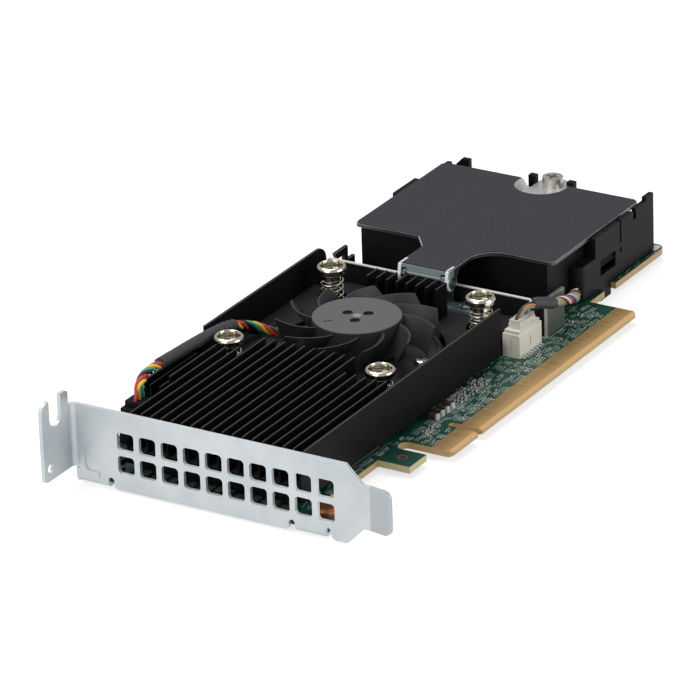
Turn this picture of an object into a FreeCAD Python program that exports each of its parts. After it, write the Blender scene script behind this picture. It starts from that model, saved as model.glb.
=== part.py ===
import FreeCAD, Part
import math
import os

# Low-profile drive controller card with an actively cooled heat sink and a battery module.
# X runs from the bracket's outer face to the rear of the card, Y from the tips of the edge
# contacts to the card's top edge, and Z out of the component face of the board.

os.makedirs("parts", exist_ok=True)

# Board
BOARD_T = 1.57
BOARD_X0 = 1.2
BOARD_X1 = 166.0
BOARD_Y0 = 12.2
BOARD_Y1 = 68.9
BOARD_CORNER_R = 2.0
KEY_X = 57.15
KEY_W = 1.9
KEY_DEPTH = 7.8
TONGUE_FRONT = 12.15
TONGUE_REAR = 72.15
TONGUE_BEVEL = 1.0
TONGUE_BEVEL_DEPTH = 0.4
TONGUE_CORNER_R = 1.2
FOOT_X0 = 34.0
FOOT_W = 7.2
FOOT_Y = 4.3
FOOT_HOLE_R = 0.8
SLOT_END_R = 1.7
LUG_X1 = 12.0
LUG_Y = 5.0

# Edge contacts
PAD_PITCH = 1.0
PAD_W = 0.7
PAD_L = 4.3
PAD_T = 0.05
PADS_FRONT = 11
PADS_REAR = 71
PAD_KEY_GAP = 1.5

# Slot bracket
BRACKET_T = 0.86
BRACKET_W = 18.42
BRACKET_TIP_Y = -11.7
BRACKET_TAB_Y = 68.8
BRACKET_TONGUE_W = 10.19
BRACKET_TONGUE_L = 7.2
BRACKET_TIP_R = 1.8
TIP_BEND_L = 5.6
TIP_BEND_DEG = -9.0
BEND_R = 1.2
TAB_L = 11.43
TAB_RISE = 3.6
TAB_CORNER_R = 1.2
TAB_TIP_R = 2.2
TAB_SHOULDER = 1.25
TAB_HOLE_X = -9.0
TAB_HOLE_Z = 4.0
TAB_HOLE_R = 1.1
NOTCH_X = -6.35
NOTCH_W = 4.4
NOTCH_DEPTH = 6.6
VENT_W = 4.2
VENT_R = 0.9
VENT_PITCH_Y = 5.54
VENT_PITCH_Z = 5.46
VENT_COLUMNS = 10
VENT_Y = 4.7
VENT_DROP = 0.3
FLANGE_L = 9.6
FLANGE_W = 7.5
FLANGE_YS = (8.8, 63.1)
FLANGE_X = 6.3
RELIEF_W = 1.5
RELIEF_H = 1.8
RELIEF_CORNER_R = 1.1
PLATE_EAR = 0.75
PLATE_EAR_GAP = 0.4
RIB_H = 0.35
RIB_W = 1.0
RIB_R = 2.0
RIB_Y = 65.5
RIB_Z = 0.2
RIB_L = 3.8

# Fasteners
M3_R = 1.5
M2_R = 1.0
THREAD_GAP = 0.05
HOLE_GAP = 0.2
PAN_R = 2.75
PAN_H = 1.7
SMALL_PAN_R = 1.8
SMALL_PAN_H = 1.1

# Heat sink
SINK_X0 = 5.2
SINK_Z0 = 1.65
FLOOR_Z = 5.2
SINK_TOP = 13.0
WALL_T = 0.6
WALL_Y = 14.1
FIN_T = 0.4
FIN_PITCH = 2.55
FIN_GAPS = 21
FIN_CHAMFER = 2.0
RIGHT_WALL_X1 = 91.0
LEFT_WALL_X0 = 53.0
LEFT_WALL_X1 = 105.0
LEFT_WALL_R = 3.6
MAIN_BASE_X1 = 99.4
LEDGE_X1 = 107.2
LEDGE_Z = 3.5
LEDGE_RIGHT_Y = 16.2
HEADER_CUT_X = 26.5
HEADER_CUT_FIN = 17
FRONT_FINS = 18
LOW_FINS = (19, 20)
LOW_FIN_TOP = 10.0
POCKET_BACK = 5.7
POCKET_HALF_W = 6.0
REAR_FINS = range(7, 15)
REAR_FIN_L = 4.9
SCREW_X0 = 51.4
SCREW_SPAN_X = 44.1
SCREW_SPAN_Y = 38.8
COUNTERBORE_R = 3.4
COUNTERBORE_Z = 2.9

# Spring screws
RING_R = 3.35
RING_H = 2.0
RING_EDGE = 0.4
RING_RECESS_R = 2.5
RING_RECESS_H = 1.1
COLLAR_R = 2.3
COLLAR_H = 1.4
NECK_R = 1.75
NUT_R = 3.0
NUT_H = 0.9
NUT_BARREL_R = 2.2
RING_DRIVE_REACH = 1.7
DRIVE_W = 0.7
DRIVE_DEPTH = 0.9
COIL_R = 2.3
WIRE_W = 0.45
COIL_TURNS = 5

# Fan
WELL_R = 19.6
WELL_Z = 2.9
FAN_BASE_GAP = 1.0
FAN_BASE_T = 1.0
FAN_RIM_T = 0.8
FAN_RIM_H = 0.6
TUBE_R = 2.6
TUBE_WALL = 0.7
TUBE_TOP = 10.4
SHAFT_R = 0.95
SHAFT_GAP = 0.03
HUB_R = 10.15
HUB_WALL = 0.8
HUB_TOP_T = 1.2
HUB_Z0 = 5.6
HUB_EDGE_R = 0.2
HUB_HOLE_R = 1.2
HUB_HOLE_RADIUS = 2.7
HUB_HOLE_DEG = 81.0
HUB_HOLES = 3
HUB_HOLE_DEPTH = 0.6
HUB_SLIT_RADIUS = 6.9
HUB_SLIT_DEG = 143.0
HUB_SLIT_L = 2.2
HUB_SLIT_W = 0.4
CUP_T = 0.5
MAGNET_T = 1.0
MAGNET_GAP = 0.05
MAGNET_REACH = 0.5
STATOR_R = 7.2
STATOR_RING_T = 1.2
STATOR_Z0 = 6.2
STATOR_H = 3.0
POLES = 4
ARM_W = 1.6
SHOE_T = 0.9
COIL_THICK = 0.9
DRIVER_R = 10.6
DRIVER_T = 0.8
BLADES = 11
BLADE_TIP_GAP = 1.4
BLADE_TOP = 12.3
BLADE_Z0 = 7.1
BLADE_T = 0.55
BLADE_LEAN = 4.2
BLADE_SWEEP_DEG = 25.0
BLADE_SWEEP_POWER = 1.3
BLADE_PHASE_DEG = 102.5
BLADE_STATIONS = 4
FAN_SCREWS = 3
FAN_SCREW_INSET = 3.0
FAN_SCREW_DEG = -85.0
FAN_SHIFT = 0.45
LEAD_SLOT_X0 = 69.0
LEAD_SLOT_X1 = 75.0

# Chips and small parts
CHIP_W = 27.0
CHIP_BASE_H = 0.9
CHIP_LID_W = 20.0
CHIP_H = 1.5
MEMORY_L = 11.0
MEMORY_W = 7.5
MEMORY_H = 1.1
MEMORY_X = 25.5
MEMORY_PITCH = 10.0
MEMORY_COUNT = 4
INDUCTOR_W = 6.6
INDUCTOR_H = 3.0
INDUCTOR_R = 0.8
INDUCTOR_X = 129.4
INDUCTOR_PITCH = 9.0
INDUCTOR_COUNT = 2
CAP_L = 2.4
CAP_W = 1.3
CAP_H = 1.2
CAP_X = 57.3
CAP_Y = 12.1
CAP_PITCH = 2.2
CAP_COUNT = 4

# Fan header and plug
FAN_HEADER_X = 19.6
FAN_HEADER_Y = 63.6
FAN_HEADER_L = 6.2
FAN_HEADER_W = 7.2
FAN_HEADER_H = 4.6
FAN_PLUG_TOP = 9.6

# Battery header and plug
BATT_HEADER_X = 99.3
BATT_HEADER_Y = 13.1
BATT_HEADER_L = 10.0
BATT_HEADER_W = 4.4
BATT_HEADER_H = 5.5
BATT_PLUG_TOP = 7.6
SHROUD_WALL = 0.6
SHROUD_FLOOR = 1.0
GROOVE_W = 0.5
GROOVE_D = 0.25
GROOVE_Z0 = 1.5
GROOVE_Z1 = 3.8
PLUG_GAP = 0.1
PLUG_LIP = 0.35
PLUG_STEP = 1.3

# Support frame
FRAME_X = 107.6
FRAME_T = 0.8
FRAME_Y0 = 11.2
FRAME_Y1 = 68.6
FRAME_TOP = 8.3
FRAME_FLANGE_X1 = 115.6
FRAME_FLANGE_TOP = 9.2
FRAME_FLOOR_X1 = 116.4
FRAME_LEFT_X1 = 118.2
FRAME_LEFT_TOP = 5.4
HOOK_X0 = 109.4
HOOK_X1 = 115.2
HOOK_TOP = 8.8
HOOK_LOW = 7.1
HOOK_NECK_X = 113.6
HOOK_SLANT = 1.0
FRAME_SCREW_X = 112.4
FRAME_SCREW_SPREAD = 17.0

# Hinge and cover
HINGE_X = 103.0
HINGE_Z = 10.9
PIN_R = 0.8
PIN_GAP = 0.05
PIN_HEAD_R = 1.4
PIN_HEAD_H = 0.5
HINGE_T = 0.8
HINGE_SHIFT = 1.2
KNUCKLE_HALF = 5.5
KNUCKLE_R = 1.9
WEB_X = 104.6
WEB_TOP = 12.5
WEB_WINDOW_Z0 = 5.6
WEB_WINDOW_Z1 = 10.7
WEB_WINDOW_HALF = 3.6
HINGE_FOOT_X0 = 103.2
HINGE_FOOT_HALF = 11.6
HINGE_SCREW_SPREAD = 9.0
COVER_T = 0.8
COVER_Z = 13.0
COVER_FRONT_X = 117.0
COVER_REAR_X = 158.2
COVER_HALF = 26.1
COVER_CORNER_R = 1.4
EAR_GAP = 0.25
EAR_R = 2.1
EAR_REAR_X = 107.0
TONGUE_LEAD = 1.4
FLAP_Z = 11.8
TONGUE_CURVE_R = 6.4
TONGUE_SLANT = 4.8
TONGUE_SLANT_W = 3.8
FILM_T = 0.2
FILM_INSET = 0.22
DISH_R = 6.2
DISH_FLOOR_R = 4.7
DISH_BACK = 1.6
DISH_DROP = 1.9
DISH_TAB_HALF = 3.9
COVER_SCREW_X = 161.9
COVER_SCREW_R = 2.45
COVER_SCREW_H = 2.0
COVER_DRIVE_REACH = 1.5
COVER_SCREW_TIP_Z = 8.4

# Battery tray and pack
TRAY_X0 = 117.2
TRAY_X1 = 162.5
TRAY_Y0 = 13.4
TRAY_WALL = 1.2
TRAY_INSET = 3.05
TRAY_FLOOR_Z = 7.0
TRAY_FLOOR_T = 1.0
TRAY_TOP = 12.75
TRAY_SKIRT_Z = 0.3
SIDE_X0 = 134.4
RIGHT_TOP = 13.4
LEFT_TOP = 12.4
BUMP_X0 = 136.8
BUMP_L = 10.2
BUMP_TOP = 13.7
SIDE_NOTCH_X0 = 152.6
SIDE_NOTCH_X1 = 154.0
SIDE_NOTCH_Z = 11.3
STEP_TOP = 13.6
POST_TOP = 14.5
POST_X0 = 159.0
REAR_POST_Y = 61.8
REAR_POST_W = 3.6
REAR_POST_TOP = 14.2
REAR_POST_SLOPE = 1.6
SLIT_X = 146.1
SLIT_W = 0.7
SLIT_Z0 = 5.6
WINDOW_X0 = 136.7
WINDOW_L = 7.2
WINDOW_Z0 = 3.3
WINDOW_H = 4.6
LATCH_Z0 = 5.3
LATCH_SET = 0.2
LATCH_T = 1.0
CLIP_X0 = 136.5
CLIP_W = 5.0
CLIP_REACH = 1.2
CLIP_HOOK = 1.1
CLIP_GAP = 0.25
CABLE_POST_X0 = 127.0
CABLE_POST_R = 2.2
CABLE_POST_TOP = 8.6
CABLE_HOLE_R = 1.1
CABLE_HOLE_DEPTH = 3.0
GUIDE_POST_T = 1.8
GUIDE_POST_L = 1.6
GUIDE_POST_TOP = 13.6
BOSS_R = 3.5
BOSS_TOP = 10.8
INSERT_R = 2.7
INSERT_BORE_R = 1.9
PACK_GAP = 0.3
PACK_EDGE_R = 1.2

# Drive connectors
PORT_L = 13.6
PORT_W = 23.0
PORT_H = 6.2
PORT_SPREAD = 13.4
PORT_PROUD = 0.6
PORT_MOUTH_W = 18.6
PORT_MOUTH_H = 3.2
PORT_MOUTH_DEPTH = 7.5

# Leads: outer radius, and the points that each route follows
FAN_LEAD_R = 1.3
FAN_ROUTE = [
    (19.6, 63.6, 9.6),
    (19.6, 63.6, 11.6),
    (20.9, 64.0, 13.0),
    (24.6, 65.0, 13.6),
    (31.0, 65.9, 12.7),
    (52.0, 65.7, 11.8),
    (61.0, 65.2, 10.8),
    (68.0, 64.2, 8.0),
    (71.2, 61.6, 5.8),
    (72.4, 57.0, 5.5),
    (72.8, 52.0, 5.5),
]
BATT_LEAD_R = 1.35
BATT_ROUTE = [
    (98.4, 13.1, 7.6),
    (98.4, 13.1, 9.4),
    (99.4, 12.8, 10.6),
    (102.6, 11.4, 10.8),
    (106.5, 9.6, 9.4),
    (111.0, 9.4, 7.9),
    (116.5, 9.4, 6.5),
    (120.2, 10.8, 5.0),
    (123.6, 14.4, 2.8),
    (127.0, 14.4, 2.8),
]

# Places that several pieces share
TONGUE_X0 = KEY_X - TONGUE_FRONT
TONGUE_X1 = KEY_X + TONGUE_REAR
LEFT_WALL_Y = WALL_Y + FIN_GAPS * FIN_PITCH
MID_Y = (WALL_Y + LEFT_WALL_Y) / 2
SCREW_X1 = SCREW_X0 + SCREW_SPAN_X
FAN_X = SCREW_X0 + SCREW_SPAN_X / 2
FAN_Y = MID_Y - FAN_SHIFT
FAN_BASE_R = WELL_R - FAN_BASE_GAP
FAN_SCREW_RADIUS = FAN_BASE_R - FAN_SCREW_INSET
BLADE_R = WELL_R - BLADE_TIP_GAP
HINGE_Y = MID_Y - HINGE_SHIFT
SCREW_XY = [
    (x, MID_Y + side * SCREW_SPAN_Y / 2)
    for x in (SCREW_X0, SCREW_X1)
    for side in (-1, 1)
]
BRACKET_Z0 = -BOARD_T - BRACKET_T
BRACKET_Z1 = BRACKET_Z0 + BRACKET_W
BRACKET_MID_Z = (BRACKET_Z0 + BRACKET_Z1) / 2
FAN_BASE_TOP = WELL_Z + FAN_BASE_T
FAN_SCREW_XY = [
    (
        FAN_X + FAN_SCREW_RADIUS * math.cos(math.radians(FAN_SCREW_DEG + 360 * i / FAN_SCREWS)),
        FAN_Y + FAN_SCREW_RADIUS * math.sin(math.radians(FAN_SCREW_DEG + 360 * i / FAN_SCREWS)),
    )
    for i in range(FAN_SCREWS)
]
HINGE_SCREW_X = (HINGE_FOOT_X0 + LEDGE_X1) / 2
HINGE_SCREW_XY = [(HINGE_SCREW_X, HINGE_Y + side * HINGE_SCREW_SPREAD) for side in (-1, 1)]
FRAME_SCREW_XY = [(FRAME_SCREW_X, MID_Y + side * FRAME_SCREW_SPREAD) for side in (-1, 1)]
EAR_HALF = KNUCKLE_HALF + EAR_GAP
COVER_TOP = COVER_Z + COVER_T
DISH_TOP = COVER_TOP - DISH_DROP
DISH_X = COVER_REAR_X - DISH_BACK
TRAY_Y1 = 2 * MID_Y - TRAY_Y0
FRONT_Y0 = TRAY_Y0 + TRAY_INSET
FRONT_Y1 = TRAY_Y1 - TRAY_INSET
MARGIN = 1.0


def vec(x, y, z):
    return FreeCAD.Vector(x, y, z)


def block(x0, x1, y0, y1, z0, z1):
    return Part.makeBox(x1 - x0, y1 - y0, z1 - z0, vec(x0, y0, z0))


def slab(x, y, length, width, z0, z1):
    """A block centred on x, y."""
    return block(x - length / 2, x + length / 2, y - width / 2, y + width / 2, z0, z1)


def post(x, y, z0, z1, radius):
    return Part.makeCylinder(radius, z1 - z0, vec(x, y, z0))


def rod_y(x, z, y0, y1, radius):
    return Part.makeCylinder(radius, y1 - y0, vec(x, y0, z), vec(0, 1, 0))


def rod_x(y, z, x0, x1, radius):
    return Part.makeCylinder(radius, x1 - x0, vec(x0, y, z), vec(1, 0, 0))


def ring(x, y, z0, z1, outer, inner):
    return post(x, y, z0, z1, outer).cut(post(x, y, z0, z1, inner))


def face_of(points):
    return Part.Face(Part.makePolygon(points + points[:1]))


def plate_xy(outline, z0, z1):
    return face_of([vec(x, y, z0) for x, y in outline]).extrude(vec(0, 0, z1 - z0))


def plate_xz(outline, y0, y1):
    return face_of([vec(x, y0, z) for x, z in outline]).extrude(vec(0, y1 - y0, 0))


def plate_yz(outline, x0, x1):
    return face_of([vec(x0, y, z) for y, z in outline]).extrude(vec(x1 - x0, 0, 0))


def turned(x, y, profile):
    """A solid turned about the vertical line at x, y from (radius, height) points."""
    points = [vec(x + radius, y, z) for radius, z in profile]
    return face_of(points).revolve(vec(x, y, 0), vec(0, 0, 1), 360)


def rounded_slab(x, y, length, width, z0, z1, radius):
    solid = slab(x, y, length, width, z0, z1)
    upright = [e for e in solid.Edges if abs(e.tangentAt(e.FirstParameter).z) > 0.9]
    return solid.makeFillet(radius, upright)


def edges_near(solid, points, reach=0.05):
    """The straight edges whose middle, seen along Z, X or Y, lies on one of the points."""
    found = []
    for edge in solid.Edges:
        middle = edge.CenterOfMass
        for x, y, z in points:
            gaps = [abs(a - b) for a, b in ((middle.x, x), (middle.y, y), (middle.z, z)) if b is not None]
            if max(gaps) < reach:
                found.append(edge)
    return found


def joined(solids):
    return solids[0].multiFuse(solids[1:]).removeSplitter()


def save(node, solid):
    solid.exportStep("parts/" + node + ".step")


def circuit_board():
    """The laminate: main panel, bevelled edge tongue, retention foot and bracket lug."""
    main = block(BOARD_X0, BOARD_X1, BOARD_Y0, BOARD_Y1, -BOARD_T, 0)
    corners = [(BOARD_X1, BOARD_Y0, None), (BOARD_X1, BOARD_Y1, None), (BOARD_X0, BOARD_Y1, None)]
    main = main.makeFillet(BOARD_CORNER_R, edges_near(main, corners))
    overlap = BOARD_Y0 + BOARD_CORNER_R
    tongue = block(TONGUE_X0, TONGUE_X1, 0, overlap, -BOARD_T, 0)
    tips = [(TONGUE_X0, 0, None), (TONGUE_X1, 0, None)]
    tongue = tongue.makeFillet(TONGUE_CORNER_R, edges_near(tongue, tips))
    upper = [(0, -TONGUE_BEVEL_DEPTH), (TONGUE_BEVEL, 0), (0, 0)]
    lower = [(0, TONGUE_BEVEL_DEPTH - BOARD_T), (TONGUE_BEVEL, -BOARD_T), (0, -BOARD_T)]
    tongue = tongue.cut([plate_yz(wedge, TONGUE_X0, TONGUE_X1) for wedge in (upper, lower)])
    foot_x1 = FOOT_X0 + FOOT_W
    foot = block(FOOT_X0, foot_x1, FOOT_Y, overlap, -BOARD_T, 0)
    lug = block(BOARD_X0, LUG_X1, LUG_Y, overlap, -BOARD_T, 0)
    board = joined([main, tongue, foot, lug])
    slot = [(foot_x1, BOARD_Y0, None), (TONGUE_X0, BOARD_Y0, None)]
    board = board.makeFillet(SLOT_END_R, edges_near(board, slot))
    key_r = KEY_W / 2
    cuts = [
        block(KEY_X - key_r, KEY_X + key_r, -MARGIN, KEY_DEPTH - key_r, -BOARD_T, 0),
        post(KEY_X, KEY_DEPTH - key_r, -BOARD_T, 0, key_r),
        post(FOOT_X0 + FOOT_W / 2, (FOOT_Y + BOARD_Y0) / 2, -BOARD_T, 0, FOOT_HOLE_R),
    ]
    clip_x0 = CLIP_X0 - CLIP_GAP
    clip_x1 = CLIP_X0 + CLIP_W + CLIP_GAP
    inner_right = TRAY_Y0 + TRAY_WALL + CLIP_GAP
    inner_left = TRAY_Y1 - TRAY_WALL - CLIP_GAP
    cuts.append(block(clip_x0, clip_x1, BOARD_Y0 - MARGIN, inner_right, -BOARD_T, 0))
    cuts.append(block(clip_x0, clip_x1, inner_left, BOARD_Y1 + MARGIN, -BOARD_T, 0))
    for y in FLANGE_YS:
        cuts.append(post(FLANGE_X, y, -BOARD_T, 0, M3_R + HOLE_GAP))
    for x, y in SCREW_XY:
        cuts.append(post(x, y, -BOARD_T, 0, NUT_BARREL_R + THREAD_GAP))
    for x, y in FRAME_SCREW_XY:
        cuts.append(post(x, y, -BOARD_T, 0, M2_R + THREAD_GAP))
    return board.cut(cuts)


def edge_contacts():
    """Gold pads at one pitch on both faces, with a gap on each side of the key."""
    rear = [KEY_X + PAD_KEY_GAP + PAD_PITCH * i for i in range(PADS_REAR)]
    front = [KEY_X - PAD_KEY_GAP - PAD_PITCH * i for i in range(PADS_FRONT)]
    y0 = TONGUE_BEVEL
    pads = []
    for x in front + rear:
        x0 = x - PAD_W / 2
        pads.append(block(x0, x0 + PAD_W, y0, y0 + PAD_L, 0, PAD_T))
        pads.append(block(x0, x0 + PAD_W, y0, y0 + PAD_L, -BOARD_T - PAD_T, -BOARD_T))
    return Part.makeCompound(pads)


def bracket_tab():
    """The screw tab: a notched ear in the XZ plane and the bend that carries it."""
    y1 = BRACKET_TAB_Y
    y0 = y1 - BRACKET_T
    z0 = BRACKET_Z0 + TAB_RISE
    z1 = BRACKET_Z1 + TAB_RISE
    ear = plate_xz(
        [
            (-TAB_L, z0),
            (-BEND_R, z0),
            (-BEND_R, BRACKET_Z1),
            (-TAB_SHOULDER, BRACKET_Z1),
            (-TAB_SHOULDER, z1),
            (-TAB_L, z1),
        ],
        y0,
        y1,
    )
    corners = [(-TAB_L, None, z0), (-TAB_SHOULDER, None, z1)]
    ear = ear.makeFillet(TAB_CORNER_R, edges_near(ear, corners))
    ear = ear.makeFillet(TAB_TIP_R, edges_near(ear, [(-TAB_L, None, z1)]))
    bend_y = y0 - BEND_R
    bend = ring(-BEND_R, bend_y, z0, BRACKET_Z1, BEND_R + BRACKET_T, BEND_R)
    bend = bend.common(block(-BEND_R, BRACKET_T, bend_y, y1, z0, BRACKET_Z1))
    notch_r = NOTCH_W / 2
    notch_z = z1 - NOTCH_DEPTH + notch_r
    cuts = [
        block(NOTCH_X - notch_r, NOTCH_X + notch_r, y0, y1, notch_z, z1),
        rod_y(NOTCH_X, notch_z, y0, y1, notch_r),
        rod_y(TAB_HOLE_X, TAB_HOLE_Z, y0, y1, TAB_HOLE_R),
    ]
    return joined([ear, bend]).cut(cuts)


def bracket_rib():
    """The L-shaped stiffening rib pressed out of the plate beside the tab."""
    half = RIB_W / 2
    turn_y = RIB_Y - RIB_R
    turn_z = RIB_Z + RIB_R
    upright = block(-RIB_H, 0, RIB_Y - half, RIB_Y + half, turn_z, turn_z + RIB_L)
    foot = block(-RIB_H, 0, turn_y - RIB_L / 2, turn_y, RIB_Z - half, RIB_Z + half)
    outer = rod_x(turn_y, turn_z, -RIB_H, 0, RIB_R + half)
    elbow = outer.cut(rod_x(turn_y, turn_z, -RIB_H, 0, RIB_R - half))
    elbow = elbow.common(block(-RIB_H, 0, turn_y, RIB_Y + half, RIB_Z - half, turn_z))
    return [upright, foot, elbow]


def io_bracket():
    """One folded sheet: vented plate, bent insertion tongue, notched tab and two board flanges."""
    half = BRACKET_TONGUE_W / 2
    shoulder = (BRACKET_W - BRACKET_TONGUE_W) / 2
    bend_y = BRACKET_TIP_Y + TIP_BEND_L
    neck_y = BRACKET_TIP_Y + BRACKET_TONGUE_L
    plate_y1 = BRACKET_TAB_Y - BRACKET_T - BEND_R
    ear_y = plate_y1 + PLATE_EAR
    ear_z = BRACKET_Z0 + TAB_RISE - PLATE_EAR_GAP
    plate = plate_yz(
        [
            (bend_y, BRACKET_MID_Z - half),
            (neck_y, BRACKET_MID_Z - half),
            (neck_y + shoulder, BRACKET_Z0),
            (ear_y, BRACKET_Z0),
            (ear_y, ear_z),
            (plate_y1, ear_z),
            (plate_y1, BRACKET_Z1),
            (neck_y + shoulder, BRACKET_Z1),
            (neck_y, BRACKET_MID_Z + half),
            (bend_y, BRACKET_MID_Z + half),
        ],
        0,
        BRACKET_T,
    )
    corners = [(None, ear_y, BRACKET_Z0), (None, neck_y + shoulder, BRACKET_Z0)]
    plate = plate.makeFillet(TAB_CORNER_R, edges_near(plate, corners))
    tip = block(0, BRACKET_T, BRACKET_TIP_Y, bend_y, BRACKET_MID_Z - half, BRACKET_MID_Z + half)
    ends = [(None, BRACKET_TIP_Y, BRACKET_MID_Z - half), (None, BRACKET_TIP_Y, BRACKET_MID_Z + half)]
    tip = tip.makeFillet(BRACKET_TIP_R, edges_near(tip, ends))
    tip.rotate(vec(BRACKET_T, bend_y, 0), vec(0, 0, 1), TIP_BEND_DEG)
    openings = []
    flanges = []
    holes = []
    rounded = []
    for y in FLANGE_YS:
        y0 = y - FLANGE_W / 2
        y1 = y + FLANGE_W / 2
        flange = block(0, FLANGE_L, y0, y1, BRACKET_Z0, BRACKET_Z0 + BRACKET_T)
        corners = [(FLANGE_L, y0, None), (FLANGE_L, y1, None)]
        flanges.append(flange.makeFillet(BRACKET_TIP_R, edges_near(flange, corners)))
        outside = block(0, BEND_R, y0, y1, BRACKET_Z0, BRACKET_Z0 + BEND_R)
        holes.append(outside.cut(rod_y(BEND_R, BRACKET_Z0 + BEND_R, y0, y1, BEND_R)))
        holes.append(post(FLANGE_X, y, BRACKET_Z0, BRACKET_Z0 + BRACKET_T, M3_R + THREAD_GAP))
        for near, far in ((y0, y0 - RELIEF_W), (y1, y1 + RELIEF_W)):
            if far > plate_y1:
                continue
            top = BRACKET_Z0 + RELIEF_H
            openings.append(block(0, BRACKET_T, min(near, far), max(near, far), BRACKET_Z0, top))
            openings.append(rod_x((near + far) / 2, top, 0, BRACKET_T, RELIEF_W / 2))
            rounded.append((None, far, BRACKET_Z0))
    for column in range(VENT_COLUMNS):
        y = VENT_Y + column * VENT_PITCH_Y
        for row in (-0.5, 0.5):
            z = BRACKET_MID_Z - VENT_DROP + row * VENT_PITCH_Z
            vent = block(0, BRACKET_T, y - VENT_W / 2, y + VENT_W / 2, z - VENT_W / 2, z + VENT_W / 2)
            through = [e for e in vent.Edges if abs(e.tangentAt(e.FirstParameter).x) > 0.9]
            openings.append(vent.makeFillet(VENT_R, through))
    plate = plate.cut(openings)
    plate = plate.makeFillet(RELIEF_CORNER_R, edges_near(plate, rounded))
    sheet = joined([plate, tip, bracket_tab()] + bracket_rib() + flanges)
    return sheet.cut(holes)


def cross_recess(x, y, z_top, reach, width, depth):
    """The two crossed slots of a screw drive."""
    half = width / 2
    one = block(x - reach, x + reach, y - half, y + half, z_top - depth, z_top)
    two = block(x - half, x + half, y - reach, y + reach, z_top - depth, z_top)
    return one.fuse(two)


def pan_screw(x, y, z_seat, z_tip, head_r, head_h, shank_r):
    """A pan-head screw with its head on z_seat and its shank down to z_tip, drive left plain."""
    top = z_seat + head_h
    rim = head_h / 3
    return turned(
        x,
        y,
        [
            (0, z_tip),
            (shank_r, z_tip),
            (shank_r, z_seat),
            (head_r, z_seat),
            (head_r, top - rim),
            (head_r - rim, top),
            (0, top),
        ],
    )


def small_screw(x, y, z_seat, z_tip):
    return pan_screw(x, y, z_seat, z_tip, SMALL_PAN_R, SMALL_PAN_H, M2_R)


def fin_y(index):
    return WALL_Y + index * FIN_PITCH


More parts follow.
